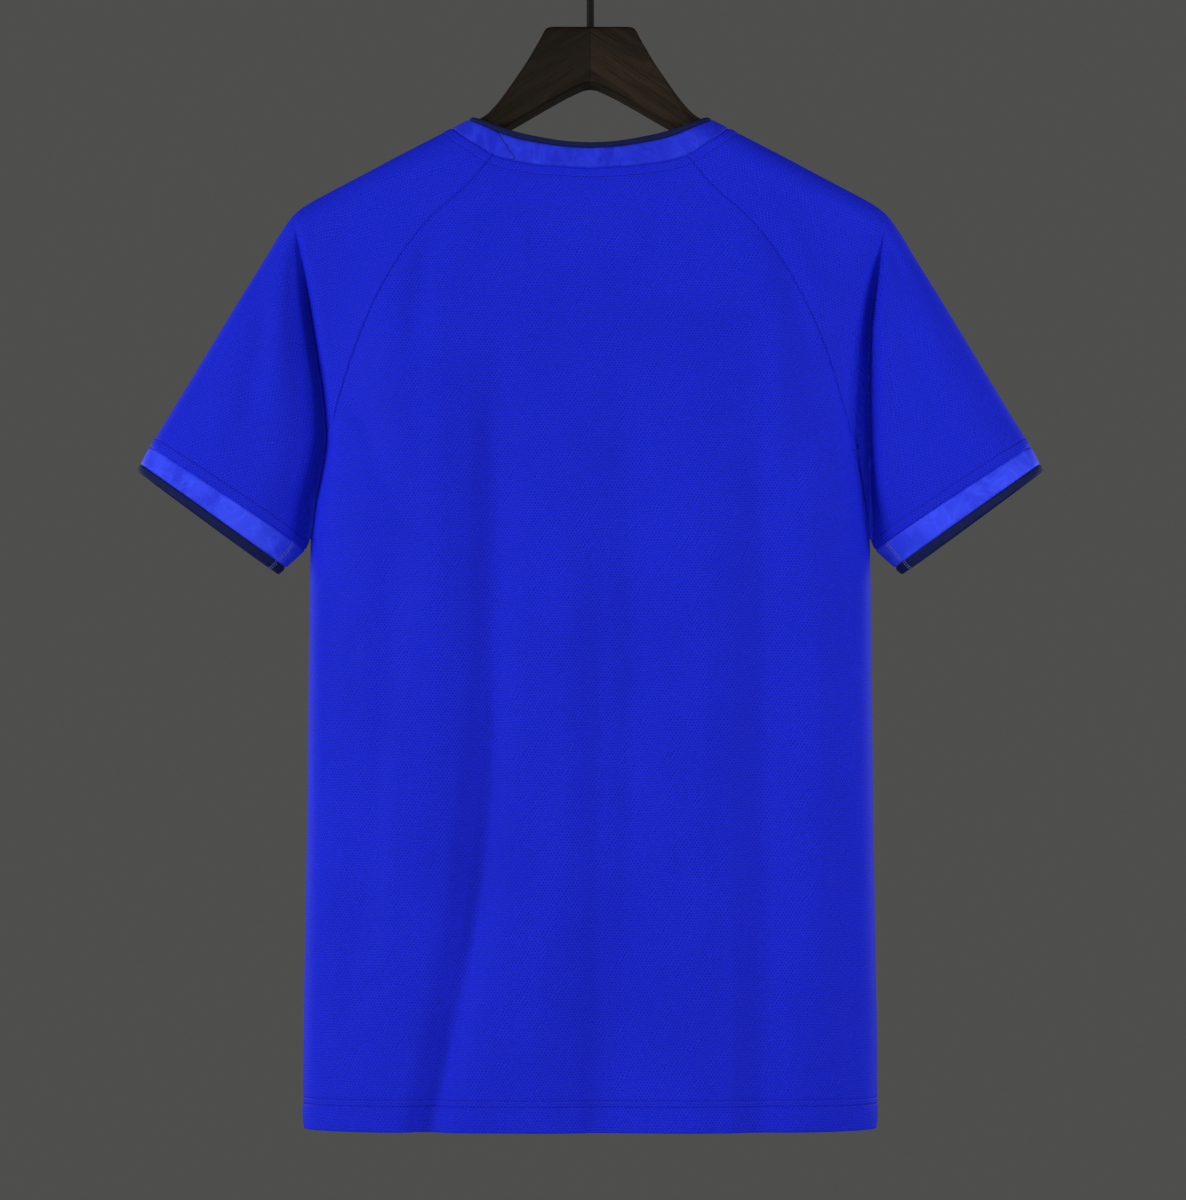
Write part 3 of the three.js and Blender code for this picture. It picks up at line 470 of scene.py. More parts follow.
class Cloth:
    """A grid of cloth points. From the row weld_from on, its rows close into rings."""

    def __init__(self, points, wall, weld_from=None):
        self.points, self.wall, self.weld_from = points, wall, weld_from
        across, down = np.gradient(points, axis=1), np.gradient(points, axis=0)
        if weld_from is not None:
            around = (points[weld_from:, 1] - points[weld_from:, -2]) / 2
            across[weld_from:, 0] = around
            across[weld_from:, -1] = around
        normals = unit(np.cross(across, down))
        self.turned = np.sum(normals[..., 1] * points[..., 1]) < 0
        self.normals = -normals if self.turned else normals
        self.lift = np.zeros(points.shape[:2])
        self.depth = np.full(points.shape[:2], wall)

    def from_edge(self, axis, last=False):
        """Distance along the surface from the first or last line of an axis."""
        lines = np.moveaxis(self.points, axis, 0)
        lines = lines[::-1] if last else lines
        step = np.linalg.norm(np.diff(lines, axis=0), axis=2)
        along = np.concatenate([np.zeros_like(step[:1]), np.cumsum(step, axis=0)])
        edge, away = unit(np.gradient(lines[0], axis=0)), unit(lines[4] - lines[0])
        along = along * np.linalg.norm(np.cross(edge, away), axis=1)
        return np.moveaxis(along[::-1] if last else along, 0, axis)

    def groove(self, distance, depth, width):
        self.lift -= depth * np.exp(-((distance / width) ** 2))

    def round_edge(self, distance, thickness):
        """Bends both faces together into a half-round free edge."""
        near = np.clip(1 - distance / (thickness / 2), 0, 1)
        bend = (thickness / 2) * (1 - np.sqrt(1 - near ** 2))
        self.lift -= bend
        self.depth -= bend

    def outer(self):
        return self.points + self.normals * self.lift[..., None]

    def line(self, distance, wanted, axis=0):
        """Places and normals along the line that lies a wanted distance from an edge."""
        away = np.moveaxis(distance, axis, 0)
        order = slice(None) if away[-1].sum() > away[0].sum() else slice(None, None, -1)
        rows = np.arange(len(away), dtype=float)[order]
        spot = np.array([np.interp(wanted, column[order], rows) for column in away.T])
        low = np.minimum(spot.astype(int), len(away) - 2)
        share, which = (spot - low)[:, None], np.arange(len(spot))
        grids = [np.moveaxis(grid, axis, 0) for grid in (self.outer(), self.normals)]
        return [mix(grid[low, which], grid[low + 1, which], share) for grid in grids]

    def flat(self, angle):
        """Flat coordinates in the knit's directions, unrolled sideways from the middle column."""
        x, y, z = np.moveaxis(self.points, 2, 0)
        across = x * math.cos(angle) + z * math.sin(angle)
        along = z * math.cos(angle) - x * math.sin(angle)
        middle = across.shape[1] // 2
        forward = 1 if np.sum(across[:, middle] - across[:, 0]) > 0 else -1
        step = forward * np.hypot(np.diff(across, axis=1), np.diff(y, axis=1))
        u = np.concatenate([np.zeros_like(step[:, :1]), np.cumsum(step, axis=1)], axis=1)
        centre = slice(middle, middle + 1)
        return np.stack([u - u[:, centre] + across[:, centre], along], axis=-1)

    def unrolled(self):
        """Flat coordinates along and across a band."""
        return np.stack([self.from_edge(1), self.from_edge(0)], axis=-1)

    def build(self, name, uv):
        """The closed thin wall: an outer face, an inner face, and rims at the open edges."""
        rows, columns = self.points.shape[:2]
        size = rows * columns
        places = np.arange(size).reshape(rows, columns)
        same = places.copy()
        if self.weld_from is not None:
            same[self.weld_from:, -1] = same[self.weld_from:, 0]
        same = same.ravel()
        corners = [places[:-1, :-1], places[:-1, 1:], places[1:, 1:], places[1:, :-1]]
        quads = np.stack(corners[::-1] if self.turned else corners, axis=-1).reshape(-1, 4)
        edges = np.concatenate([quads[:, [i, (i + 1) % 4]] for i in range(4)])
        ends = np.sort(same[edges], axis=1)
        _, first, count = np.unique(ends, axis=0, return_index=True, return_counts=True)
        rim = edges[first[count == 1]]
        rim_quads = np.stack([rim[:, 1], rim[:, 0], rim[:, 0] + size, rim[:, 1] + size], axis=-1)
        faces = np.concatenate([quads, quads[:, ::-1] + size, rim_quads])
        inner = self.points - self.normals * self.depth[..., None]
        both = np.concatenate([self.outer().reshape(-1, 3), inner.reshape(-1, 3)])
        used, vertex = np.unique(same[faces % size] + size * (faces >= size), return_inverse=True)
        corner_uv = uv.reshape(-1, 2)[faces.ravel() % size]
        return new_object(name, both[used], [vertex.reshape(-1, 4)], corner_uv)


def ring_faces(rings, count):
    """Quads between closed rings of points, one ring after the other."""
    ids = np.arange(rings * count).reshape(rings, count)
    after = np.roll(ids, -1, axis=1)
    return np.stack([ids[:-1], after[:-1], after[1:], ids[1:]], axis=-1).reshape(-1, 4)


# One stitch: how far each of its rings lies from the middle, and how thick it is there
STITCH_RINGS = [(-0.5, 0.15), (-0.44, 0.75), (-0.25, 1.0), (0.25, 1.0), (0.44, 0.75), (0.5, 0.15)]
STITCH_SIDES = 6


def stitches(name, lines, pitch=STITCH_PITCH, length=STITCH_LENGTH, thread=THREAD):
    """Short threads end to end along lines of places, each dipping in at both ends."""
    points, faces, uvs = [], [], []
    share, size = np.array(STITCH_RINGS).T
    turn = np.arange(STITCH_SIDES) * 2 * math.pi / STITCH_SIDES
    shape = ring_faces(len(share), STITCH_SIDES)
    per_stitch = len(share) * STITCH_SIDES
    for places, normals in lines:
        step = np.linalg.norm(np.diff(places, axis=0), axis=1)
        run = np.concatenate([[0], np.cumsum(step)])
        count = max(1, int(run[-1] // pitch))
        middles = (np.arange(count) + 0.5) * run[-1] / count
        where = middles[:, None] + share[None, :] * length
        centre = np.stack([np.interp(where, run, places[:, i]) for i in range(3)], axis=-1)
        normal = unit(np.stack([np.interp(where, run, normals[:, i]) for i in range(3)], axis=-1))
        tangent = unit(centre[:, -1:] - centre[:, :1])
        sideways = unit(np.cross(tangent, normal))
        lift = thread * (STITCH_LIFT - STITCH_SINK * share ** 2)
        centre = centre + normal * lift[None, :, None]
        radius = (thread * size)[None, :, None, None]
        sideways, normal = sideways[:, :, None], normal[:, :, None]
        ring = np.cos(turn)[:, None] * sideways + np.sin(turn)[:, None] * normal
        offset = sum(len(group) for group in points)
        starts = offset + per_stitch * np.arange(count)
        faces.append((shape[None] + starts[:, None, None]).reshape(-1, 4))
        points.append((centre[:, :, None] + radius * ring).reshape(-1, 3))
        runs = np.repeat(where, STITCH_SIDES, axis=1)
        uvs.append(np.stack([runs, np.tile(turn, (count, len(share)))], axis=-1))
    flat_uv = np.concatenate([group.reshape(-1, 2) for group in uvs])
    quads = np.concatenate(faces)
    cap = np.arange(STITCH_SIDES)
    caps = np.concatenate([cap[::-1], per_stitch - STITCH_SIDES + cap])
    starts = np.arange(len(flat_uv) // per_stitch)[:, None] * per_stitch
    ends = (starts + caps[None, :]).reshape(-1, STITCH_SIDES)
    corner_uv = np.concatenate([flat_uv[quads.ravel()], flat_uv[ends.ravel()]])
    return new_object(name, np.concatenate(points), [quads, ends], corner_uv)


class Finish:
    """A procedural material, whose nodes are made one by one and joined as they are made."""

    def __init__(self, name, **uniform):
        self.material = bpy.data.materials.new(name)
        self.material.use_nodes = True
        self.tree = self.material.node_tree
        self.shader = self.tree.nodes["Principled BSDF"]
        for socket, value in uniform.items():
            self.shader.inputs[socket.replace("_", " ")].default_value = value

    def node(self, kind, inputs, output=0, **settings):
        node = self.tree.nodes.new("ShaderNode" + kind)
        for setting, value in settings.items():
            setattr(node, setting, value)
        for key, value in inputs.items():
            self.feed(node.inputs[key], value)
        return node.outputs[output]

    def feed(self, socket, value):
        if isinstance(value, bpy.types.NodeSocket):
            self.tree.links.new(value, socket)
        else:
            socket.default_value = value

    def math(self, operation, *values):
        return self.node("Math", dict(enumerate(values)), operation=operation)

    def times(self, *values):
        return self.math("MULTIPLY", *values)

    def plus(self, *values):
        return self.math("ADD", *values)

    def step(self, value, start, stop, low=0.0, high=1.0):
        ends = {"From Min": start, "From Max": stop, "To Min": low, "To Max": high}
        return self.node("MapRange", {"Value": value, **ends}, interpolation_type="SMOOTHSTEP")

    def blend(self, share, first, second):
        inputs = {0: share, 6: (*first, 1) if isinstance(first, tuple) else first}
        inputs[7] = (*second, 1) if isinstance(second, tuple) else second
        return self.node("Mix", inputs, output=2, data_type="RGBA")

    def flat_place(self):
        """The two flat coordinates of the cloth, in metres."""
        place = self.node("SeparateXYZ", {0: self.node("UVMap", {}, uv_map="UVMap")})
        return place, place.node.outputs[1]

    def place(self):
        return self.node("TexCoord", {}, output="Object")

    def noise(self, vector, scale, detail=2.0, roughness=0.5, distortion=0.0):
        inputs = {"Vector": vector, "Scale": scale, "Detail": detail}
        return self.node("TexNoise", {**inputs, "Roughness": roughness, "Distortion": distortion})

    def finish(self, colour, height, distance, strength=1.0, roughness=None):
        self.feed(self.shader.inputs["Base Color"], colour)
        if roughness is not None:
            self.feed(self.shader.inputs["Roughness"], roughness)
        bump = self.node("Bump", {"Strength": strength, "Distance": distance, "Height": height})
        self.feed(self.shader.inputs["Normal"], bump)
        return self.material


def knit_cells(finish, wale, course, stagger, uneven=0.0):
    """How far a place lies from the middle of its stitch, across and along, from 0 to 0.5."""
    u, v = finish.flat_place()
    if uneven:
        wander = finish.times(finish.noise(finish.place(), 80.0, detail=3.0), uneven)
        u, v = finish.plus(u, wander), finish.plus(v, wander)
    row = finish.math("DIVIDE", v, course)
    odd = finish.math("FRACT", finish.times(finish.math("FLOOR", row), 0.5))
    shifted = finish.times(odd, 2 * stagger)
    place = finish.plus(finish.math("DIVIDE", u, wale), shifted)
    return [
        finish.math("ABSOLUTE", finish.math("SUBTRACT", finish.math("FRACT", value), 0.5))
        for value in (place, row)
    ]


def royal_finish():
    """Fine micro-mesh jersey: staggered rows of small eyelets in a smooth knit, the eyelets
    darkened with painted shade.
    """
    finish = Finish("royal_knit", Roughness=0.6, Specular_IOR_Level=0.02)
    across, along = knit_cells(finish, wale=0.0024, course=0.0019, stagger=0.5, uneven=0.0045)
    eyelet = finish.times(finish.step(across, 0.34, 0.1), finish.step(along, 0.4, 0.14))
    yarn = finish.plus(finish.times(across, 0.6), finish.times(along, 0.4))
    cloudy = finish.noise(finish.place(), 9.0, detail=3.0)
    speck = finish.noise(finish.place(), 480.0, detail=2.0)
    light = finish.step(cloudy, 0.3, 0.7)
    tone = finish.blend(light, (0.0105, 0.0198, 0.55), (0.012, 0.0222, 0.60))
    tone = finish.blend(finish.step(speck, 0.35, 0.65, 0.0, 0.2), tone, (0.005, 0.010, 0.35))
    # Painted shade: the eyelets are darkened as if shadowed inside the holes.
    tone = finish.blend(finish.times(eyelet, 0.62), tone, (0.003, 0.006, 0.24))
    height = finish.math("SUBTRACT", yarn, finish.times(eyelet, 0.7))
    return finish.finish(tone, height, 0.0001, 0.5)


def bright_finish(name, low, high):
    """Smooth rib of the bands with tonal marbling, with painted shade darkening the grooves
    between the ribs.
    """
    finish = Finish(name, Roughness=0.55, Specular_IOR_Level=0.05)
    cloud = finish.noise(finish.place(), 27.0, detail=3.0, roughness=0.5, distortion=1.2)
    vein = finish.noise(finish.place(), 24.0, detail=2.0, roughness=0.5, distortion=2.6)
    edge = finish.step(finish.math("ABSOLUTE", finish.math("SUBTRACT", vein, 0.5)), 0.05, 0.0)
    clouds = finish.step(cloud, 0.36, 0.64, 0.0, 0.7)
    marble = finish.plus(clouds, finish.times(edge, 0.3))
    across, along = knit_cells(finish, wale=0.0011, course=0.0009, stagger=0.0)
    tone = finish.blend(marble, low, high)
    # Painted shade: the grooves between the ribs are darkened.
    tone = finish.blend(finish.step(across, 0.5, 0.15, 0.0, 0.12), tone, (0.012, 0.022, 0.4))
    height = finish.plus(across, finish.times(along, 0.3))
    return finish.finish(tone, height, 0.0002, 0.4)


def navy_finish():
    """Narrow dark rib edging, with painted shade darkening the grooves between the ribs."""
    finish = Finish("navy_trim", Roughness=0.68, Specular_IOR_Level=0.04)
    across, along = knit_cells(finish, wale=0.0013, course=0.0009, stagger=0.5)
    worn = finish.noise(finish.place(), 160.0, detail=3.0)
    tone = finish.blend(worn, (0.0058, 0.0096, 0.052), (0.0092, 0.015, 0.084))
    # Painted shade: the grooves between the ribs are darkened.
    tone = finish.blend(finish.step(across, 0.5, 0.2, 0.0, 0.3), tone, (0.004, 0.006, 0.022))
    height = finish.plus(across, finish.times(along, 0.4))
    return finish.finish(tone, height, 0.0003, 0.6)


def thread_finish(name, colour, painted_shade):
    """Twisted thread: slanting strands round each stitch, with painted shade between the strands.
    """
    finish = Finish(name, Roughness=0.6, Specular_IOR_Level=0.15)
    u, v = finish.flat_place()
    turns = finish.times(v, 1000.0)
    slant = finish.plus(finish.times(u, 9000.0), turns)
    strand = finish.math("ABSOLUTE", finish.math("SINE", slant))
    # Painted shade: the low places between the strands take the darker colour.
    return finish.finish(finish.blend(strand, painted_shade, colour), strand, 0.00005, 0.8)


def turned_by(finish, first, second, angle):
    """Two places turned by an angle: along the new direction, and across it."""
    cosine, sine = math.cos(angle), math.sin(angle)
    along = finish.math("SUBTRACT", finish.times(first, cosine), finish.times(second, sine))
    return along, finish.plus(finish.times(first, sine), finish.times(second, cosine))


def walnut_finish():
    """Dark walnut with its grain running down each arm, mirrored at the middle joint."""
    finish = Finish("walnut", Roughness=0.5, Specular_IOR_Level=0.05)
    place = finish.node("SeparateXYZ", {0: finish.place()})
    x, y, z = place, place.node.outputs[1], place.node.outputs[2]
    out = finish.math("ABSOLUTE", x)
    along, across = turned_by(finish, out, z, WOOD_GRAIN)
    stretched = finish.node("CombineXYZ", {
        0: finish.times(along, 0.05), 1: across, 2: finish.times(y, 0.6)})
    figure = finish.noise(stretched, 130.0, detail=5.0, roughness=0.6, distortion=0.5)
    pore = finish.noise(stretched, 1100.0, detail=3.0, roughness=0.7)
    light = finish.step(figure, 0.34, 0.66)
    tone = finish.blend(light, (0.0072, 0.0048, 0.0025), (0.0215, 0.0148, 0.0084))
    tone = finish.blend(finish.step(pore, 0.54, 0.7, 0.0, 0.55), tone, (0.0045, 0.0034, 0.0024))
    darker_half = finish.step(x, -0.0006, 0.0006, 0.0, 0.6)
    tone = finish.blend(darker_half, tone, (0.0054, 0.0036, 0.002))
    joint = finish.step(out, 0.00045, 0.0001)
    tone = finish.blend(finish.times(joint, 0.7), tone, (0.003, 0.0024, 0.002))
    sunk = finish.plus(pore, joint)
    height = finish.math("SUBTRACT", finish.times(figure, 0.5), sunk)
    rough = finish.step(pore, 0.35, 0.75, 0.44, 0.62)
    return finish.finish(tone, height, 0.00015, 0.35, rough)


def lacquer_finish():
    """Black lacquered wire, drawn lengthwise."""
    finish = Finish("hook_lacquer", Roughness=0.45, Specular_IOR_Level=0.06)
    place = finish.node("SeparateXYZ", {0: finish.place()})
    lengthwise = finish.times(place.node.outputs[2], 0.1)
    drawn = finish.node("CombineXYZ", {0: place, 1: place.node.outputs[1], 2: lengthwise})
    streak = finish.noise(drawn, 2600.0, detail=2.0)
    tone = finish.blend(streak, (0.004, 0.004, 0.0038), (0.0075, 0.0073, 0.007))
    return finish.finish(tone, streak, 0.00004, 0.3, finish.step(streak, 0.2, 0.8, 0.4, 0.52))


def set_up(piece, material, node=None):
    """Gives a piece its finish and its body, and hides the CAD node that it stands for."""
    piece.data.materials.clear()
    piece.data.materials.append(material)
    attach(piece, "root")
    if node:
        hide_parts(node)
    return piece


def sew_seam(cloth, *edges):
    for distance in edges:
        cloth.groove(distance, SEAM_DIP, SEAM_WIDTH)


def topstitch(cloth, distance, wanted=TOPSTITCH):
    """The seam allowance lies raised between the seam and its row of stitches."""
    raised = smooth_step(wanted + ALLOWANCE_ENDS, wanted - ALLOWANCE_FULL, distance)
    cloth.lift += ALLOWANCE_RISE * raised
    cloth.groove(distance - wanted, STITCH_DIP, STITCH_WIDTH)


def make_panel(face, materials):
    cloth = Cloth(panel_grid(face), BODY_WALL)
    hem, neck = cloth.from_edge(0), cloth.from_edge(0, last=True)
    sew_seam(cloth, cloth.from_edge(1), cloth.from_edge(1, last=True), neck)
    topstitch(cloth, neck)
    cloth.lift += HEM_RISE * smooth_step(HEM_ROWS[0] + HEM_STEP, HEM_ROWS[0] - HEM_STEP, hem)
    for row, dip in zip(HEM_ROWS, HEM_DIPS):
        cloth.groove(hem - row, dip, STITCH_WIDTH)
    double = smooth_step(HEM_ROWS[1] + HEM_DOUBLE_ENDS, HEM_ROWS[1] + HEM_DOUBLE_FULL, hem)
    cloth.depth += HEM_DOUBLE * double
    cloth.round_edge(hem, BODY_WALL + HEM_RISE + HEM_DOUBLE)
    shell = cloth.build(f"{face}_cloth", cloth.flat(0))
    piece = set_up(shell, materials["royal"], f"{face}_panel")
    lines = [cloth.line(hem, row) for row in HEM_ROWS] + [cloth.line(neck, TOPSTITCH)]
    sewn = set_up(stitches(f"{face}_stitches", lines), materials["royal_thread"])
    return piece, sewn


def make_sleeve(name, side, materials):
    points, first_closed = sleeve_grid(side)
    cloth = Cloth(points, BODY_WALL, first_closed)
    neck, cuff = cloth.from_edge(0), cloth.from_edge(0, last=True)
    sew_seam(cloth, cloth.from_edge(1), cloth.from_edge(1, last=True), neck, cuff)
    topstitch(cloth, neck)
    topstitch(cloth, cuff)
    cloth.groove(cuff - CUFF_CREASE, CUFF_CREASE_DIP, CUFF_CREASE_WIDTH)
    flat = cloth.flat(side * SLEEVE_GRAIN)
    piece = set_up(cloth.build(f"{name}_cloth", flat), materials["royal"], name)
    lines = [cloth.line(neck, TOPSTITCH), cloth.line(cuff, TOPSTITCH)]
    sewn = set_up(stitches(f"{name}_stitches", lines), materials["royal_thread"])
    return piece, sewn


def make_band(name, points, crown, free_edge, finish, join=None):
    """A doubled rib band, slightly crowned, whose far edge may be free."""
    cloth = Cloth(points, BAND_WALL, 0)
    start, end = cloth.from_edge(0), cloth.from_edge(0, last=True)
    width = start + end
    cloth.lift += crown * (1 - (2 * start / width - 1) ** CROWN_POWER)
    sew_seam(cloth, start * BAND_SEAM_SHARPNESS)
    if free_edge:
        cloth.round_edge(end, BAND_WALL)
    else:
        sew_seam(cloth, end * BAND_SEAM_SHARPNESS)
    if join is not None:
        cloth.groove(cloth.from_edge(1) - join, JOIN_DIP, JOIN_WIDTH)
    return set_up(cloth.build(f"{name}_knit", cloth.unrolled()), finish, name), cloth


def join_threads(name, cloths, places, material):
    """Pale thread rows across a band where its ends are joined."""
    lines = [cloth.line(cloth.from_edge(1), place, axis=1) for cloth in cloths for place in places]
    threads = stitches(name, lines, JOIN_PITCH, JOIN_PITCH, JOIN_THREAD)
    return set_up(threads, material)


def hanger_sections():
    """Curves of the hanger's top, bottom and half thickness from its middle to its tip."""
    table = [list(station) for station in HANGER_STATIONS]
    for x in np.linspace(ARM_FIRST, ARM_LAST, ARM_STATIONS):
        past = smooth_step(NECK_END[0], NECK_END[0] + ARM_CHANGE, x)
        top = shoulder_z(x) - mix(ARM_UNDER_COLLAR, ARM_UNDER_CLOTH, past) / SLOPE_COSINE
        height = mix(ARM_HEIGHT, ARM_TIP_HEIGHT, (x - ARM_FIRST) / (ARM_LAST - ARM_FIRST))
        half = mix(RIDGE_NECK, RIDGE_TIP, x / SHOULDER_TIP[0]) - ARM_INSIDE
        table.append([x, top, top - height, half])
    return [curve_through([(row[0], row[i]) for row in table]) for i in (1, 2, 3)]


def rounded_section(half_y, half_z, radius):
    """Rounded rectangles, one a row: each corner is an arc with a point beside each end."""
    turn = np.linspace(0, math.pi / 2, CORNER_POINTS)[None, :]
    sides = []
    for corner, (sign_y, sign_z) in enumerate(((1, 1), (-1, 1), (-1, -1), (1, -1))):
        angle = turn + corner * math.pi / 2
        y = sign_y * (half_y - radius) + radius * np.cos(angle)
        z = sign_z * (half_z - radius) + radius * np.sin(angle)
        along_y, along_z = CORNER_HOLD * (half_y - radius), CORNER_HOLD * (half_z - radius)
        before, after = (along_y, along_z) if corner % 2 else (along_z, along_y)
        first, last = angle[:, :1], angle[:, -1:]
        starts_y, ends_y = y[:, :1] + before * np.sin(first), y[:, -1:] - after * np.sin(last)
        starts_z, ends_z = z[:, :1] - before * np.cos(first), z[:, -1:] + after * np.cos(last)
        sides.append(([starts_y, y, ends_y], [starts_z, z, ends_z]))
    return [np.concatenate(sum(parts, []), axis=1) for parts in zip(*sides)]


def capped(name, rings, turned, smooth_angle):
    """A closed solid from rings of points, with a flat cap at each end."""
    count, sides = rings.shape[:2]
    cap = np.arange(sides)
    faces = [ring_faces(count, sides), np.stack([cap[::-1], (count - 1) * sides + cap])]
    faces = [group[:, ::-1] for group in faces] if turned else faces
    points = rings.reshape(-1, 3)
    corner_uv = np.concatenate([points[group.ravel()] for group in faces])[:, [0, 2]]
    return new_object(name, points, faces, corner_uv, smooth_angle)


def make_hanger(material):
    """The wooden hanger: squarer in the middle, rounder along the arms, with rounded ends."""
    top, bottom, half = hanger_sections()
    near_tip = half_shares(ARM_END_POINTS)[ARM_END_POINTS // 2:]
    ends = ARM_LAST - ARM_END * (1 - near_tip) * 2
    right = np.concatenate([np.arange(0, 80, 1.0), np.arange(80, ARM_LAST - ARM_END, 2.5), ends])
    x = np.concatenate([-right[:0:-1], right])
    out = np.abs(x)
    back = np.clip((ARM_LAST - out) / ARM_END, 0, 1)
    scale = ARM_END_SCALE + (1 - ARM_END_SCALE) * np.sqrt(1 - (1 - back) ** 2)
    half_y = (half(out) * scale)[:, None]
    half_z = ((top(out) - bottom(out)) / 2 * scale)[:, None]
    on_arm = smooth_step(PLAIN_UNTIL, ARM_FIRST, out)[:, None]
    radius = mix(CORNER, ARM_ROUNDNESS * np.minimum(half_y, half_z), on_arm)
    y, z = rounded_section(half_y, half_z, radius)
    z = z + ((top(out) + bottom(out)) / 2)[:, None]
    rings = np.stack([np.repeat(x[:, None], y.shape[1], axis=1), y, z], axis=-1)
    return set_up(capped("hanger", rings, True, SMOOTH_WOOD), material, "hanger_wood")


def hook_path():
    """The hook's middle line: up the stem, out to one side, and round over the rail."""
    reach, centre = (RAIL + WIRE) / 2, -RAIL / 2
    angles = np.radians(np.arange(HOOK_FROM, HOOK_TO + 0.1, HOOK_STEP))
    arc = np.stack([reach * np.cos(angles), centre + reach * np.sin(angles)], axis=-1)
    rise = np.linspace(STEM_FOOT, STEM_TOP, STEM_POINTS)
    stem = np.stack([np.zeros_like(rise), rise], axis=-1)
    share = np.linspace(0, 1, BEND_POINTS)[1:-1, None]
    pull = HOOK_PULL * np.linalg.norm(arc[0] - stem[-1])
    leave = np.array([0, pull])
    arrive = pull * np.array([-math.sin(angles[0]), math.cos(angles[0])])
    bend = (
        (2 * share ** 3 - 3 * share ** 2 + 1) * stem[-1]
        + (share ** 3 - 2 * share ** 2 + share) * leave
        + (3 * share ** 2 - 2 * share ** 3) * arc[0] + (share ** 3 - share ** 2) * arrive
    )
    return np.concatenate([stem, bend, arc])


def make_hook(material):
    """A round wire along the hook's path with a rounded end."""
    path = hook_path()
    tangent = unit(np.gradient(path, axis=0))
    sideways = np.stack([-tangent[:, 1], tangent[:, 0]], axis=-1)
    cap = np.sin(np.linspace(0, math.pi / 2, HOOK_CAP_POINTS)[1:])[::-1]
    tip = path[-1] + tangent[-1] * (WIRE / 2) * np.sqrt(1 - cap ** 2)[:, None]
    centre = np.concatenate([path, tip[1:]])
    sideways = np.concatenate([sideways, np.repeat(sideways[-1:], len(tip) - 1, axis=0)])
    radius = np.concatenate([np.full(len(path), WIRE / 2), WIRE / 2 * cap[1:]])
    turn = np.linspace(0, 2 * math.pi, HOOK_SIDES, endpoint=False)[None, :]
    spread = radius[:, None] * np.cos(turn)
    y = radius[:, None] * np.sin(turn)
    x = centre[:, :1] + spread * sideways[:, :1]
    z = centre[:, 1:] + spread * sideways[:, 1:]
    hook = capped("hook", np.stack([x, y, z], axis=-1), False, SMOOTH_CLOTH)
    return set_up(hook, material, "hanger_hook")


def make_camera():
    data = bpy.data.cameras.new("camera")
    data.sensor_fit, data.sensor_width, data.lens = "HORIZONTAL", SENSOR, LENS
    camera = bpy.data.objects.new("camera", data)
    camera.location = CAMERA_PLACE
    camera.rotation_euler = (math.pi / 2 + math.atan(CAMERA_RISE), 0, math.pi)
    bpy.context.scene.collection.objects.link(camera)
    bpy.context.scene.camera = camera


# Soft boxes aimed at the jersey's middle. The azimuth runs from +Y towards +X, in degrees;
# the rise, distance and size are in metres, and the power in watts.
Light = namedtuple("Light", "name azimuth rise distance size power")
LIGHTS = [
    Light("key", 63, 0.4, 2.4, (0.7, 1.6), 47),
    Light("right_fill", -62, 0.2, 1.5, (0.5, 1.5), 13.5),
    Light("front_fill", 0, 0.4, 3.2, (1.4, 1.4), 38),
    Light("far_left", 130, 0.3, 2.6, (0.7, 1.4), 22),
    Light("far_right", -130, 0.3, 2.6, (0.7, 1.4), 22),
]


def make_light(light):
    angle = math.radians(light.azimuth)
    bearing = Vector((math.sin(angle), math.cos(angle), 0))
    data = bpy.data.lights.new(light.name, "AREA")
    data.shape, data.energy = "RECTANGLE", light.power
    data.size, data.size_y = light.size
    lamp = bpy.data.objects.new(light.name, data)
    lamp.location = bearing * light.distance + Vector((0, 0, STUDIO_MIDDLE + light.rise))
    aim = Vector((0, 0, STUDIO_MIDDLE)) - lamp.location
    lamp.rotation_euler = aim.to_track_quat("-Z", "Y").to_euler()
    bpy.context.scene.collection.objects.link(lamp)


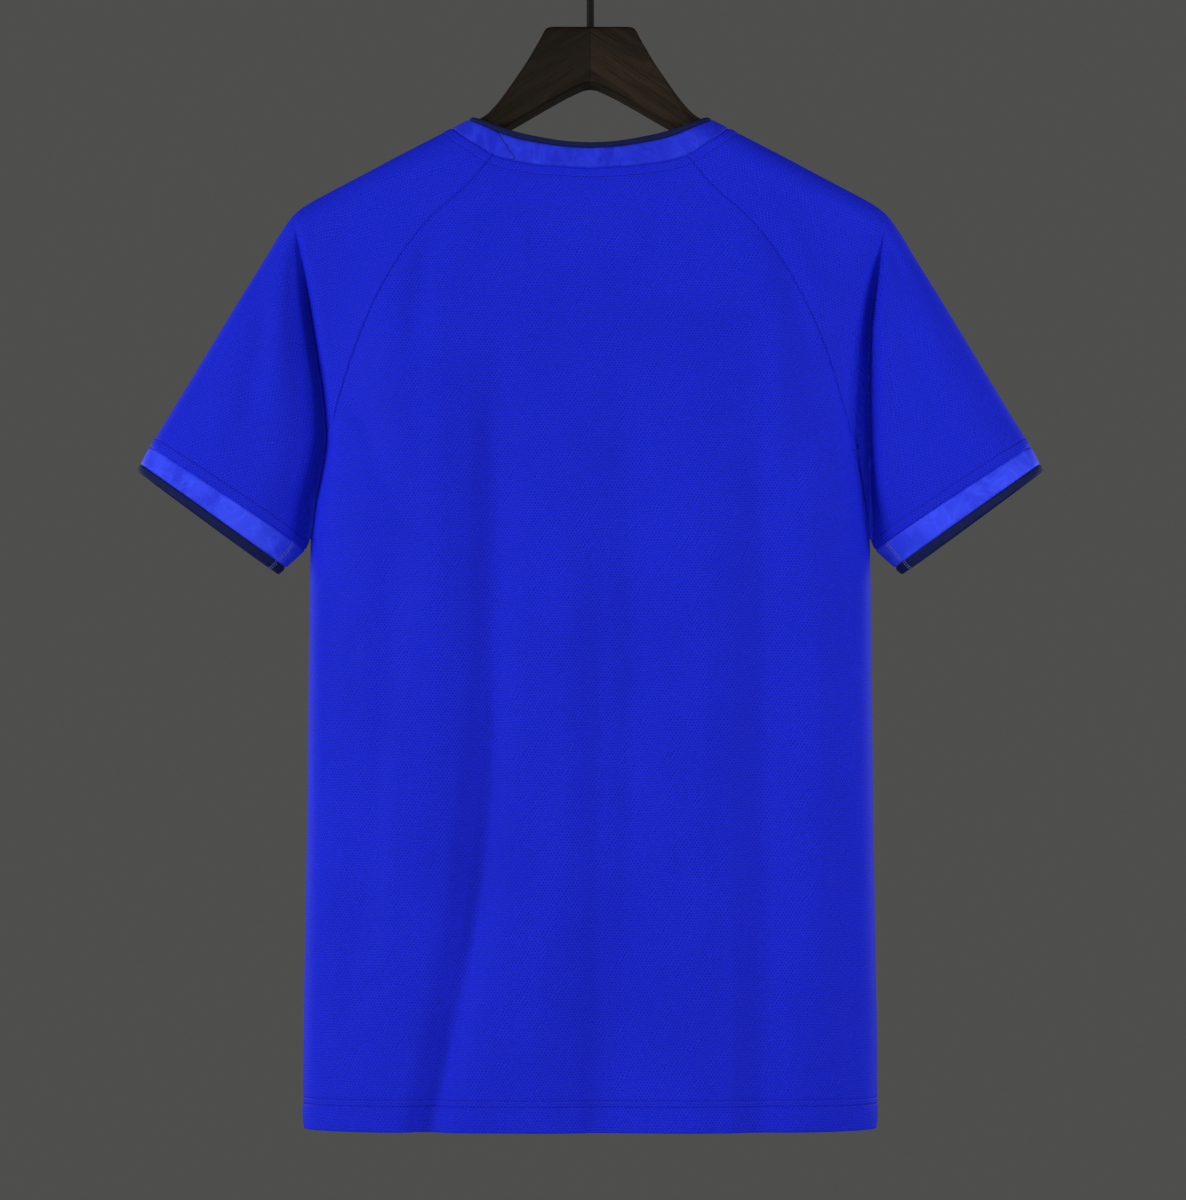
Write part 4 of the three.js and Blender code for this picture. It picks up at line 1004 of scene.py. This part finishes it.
def make_studio():
    bpy.context.scene.view_settings.view_transform = "Standard"
    world = bpy.data.worlds.new("studio")
    world.use_nodes = True
    world.node_tree.nodes["Background"].inputs[0].default_value = WORLD_GREY
    bpy.context.scene.world = world
    for light in LIGHTS:
        make_light(light)
    corners = np.array([[-1, -1, 0], [1, -1, 0], [1, 1, 0], [-1, 1, 0]]) * FLOOR_HALF
    corners[:, 2] = FLOOR_Z
    quad = np.array([[0, 1, 2, 3]])
    floor = new_object("floor", corners / MM, [quad], corners[:, :2] / MM)
    paint = Finish("floor_paint", Roughness=0.8)
    cloudy = paint.noise(paint.place(), 3.0, detail=4.0)
    tone = paint.blend(cloudy, (0.58, 0.58, 0.57), (0.62, 0.62, 0.61))
    floor.data.materials.append(paint.finish(tone, cloudy, 0.0005, 0.2))


make_camera()
make_studio()
materials = {
    "royal": royal_finish(),
    # The collar's knit is a darker copy of the cuffs' knit: painted shade to offset the light that
    # falls on it from above.
    "collar": bright_finish("shaded_collar_knit", (0.0105, 0.019, 0.50), (0.022, 0.04, 0.68)),
    "bright": bright_finish("cuff_knit", (0.020, 0.037, 0.66), (0.042, 0.074, 0.90)),
    "navy": navy_finish(),
    "royal_thread": thread_finish("royal_thread", (0.003, 0.007, 0.24), (0.0014, 0.003, 0.12)),
    "pale_thread": thread_finish("pale_thread", (0.16, 0.19, 0.46), (0.06, 0.07, 0.24)),
    "navy_thread": thread_finish("navy_thread", (0.006, 0.008, 0.03), (0.003, 0.004, 0.014)),
}
hanger = make_hanger(walnut_finish())
make_hook(lacquer_finish())

back, back_sewn = make_panel("back", materials)
front, front_sewn = make_panel("front", materials)

trim_start = 1 - COLLAR_TRIM_SHARE
band, band_cloth = make_band(
    "collar_band", collar_grid(0, trim_start, BAND_ROWS), BAND_CROWN, False,
    materials["collar"], COLLAR_JOIN)
trim, _ = make_band(
    "collar_trim", collar_grid(trim_start, 1, TRIM_ROWS), TRIM_CROWN, True,
    materials["navy"])
tack = join_threads(
    "collar_join", [band_cloth], COLLAR_THREADS, materials["navy_thread"])

for wearer_side, side in (("left", 1), ("right", -1)):
    name = f"sleeve_{wearer_side}"
    sleeve, sleeve_sewn = make_sleeve(name, side, materials)
    edge = 2 - CUFF_TRIM_SHARE
    cuff, cuff_cloth = make_band(
        f"cuff_band_{wearer_side}", cuff_grid(side, 1, edge, BAND_ROWS), BAND_CROWN, False,
        materials["bright"], CUFF_JOIN)
    cuff_trim, trim_cloth = make_band(
        f"cuff_trim_{wearer_side}", cuff_grid(side, edge, 2, TRIM_ROWS), TRIM_CROWN, True,
        materials["navy"], CUFF_JOIN)
    joined = join_threads(
        f"cuff_join_{wearer_side}", [cuff_cloth, trim_cloth], CUFF_THREADS,
        materials["pale_thread"])
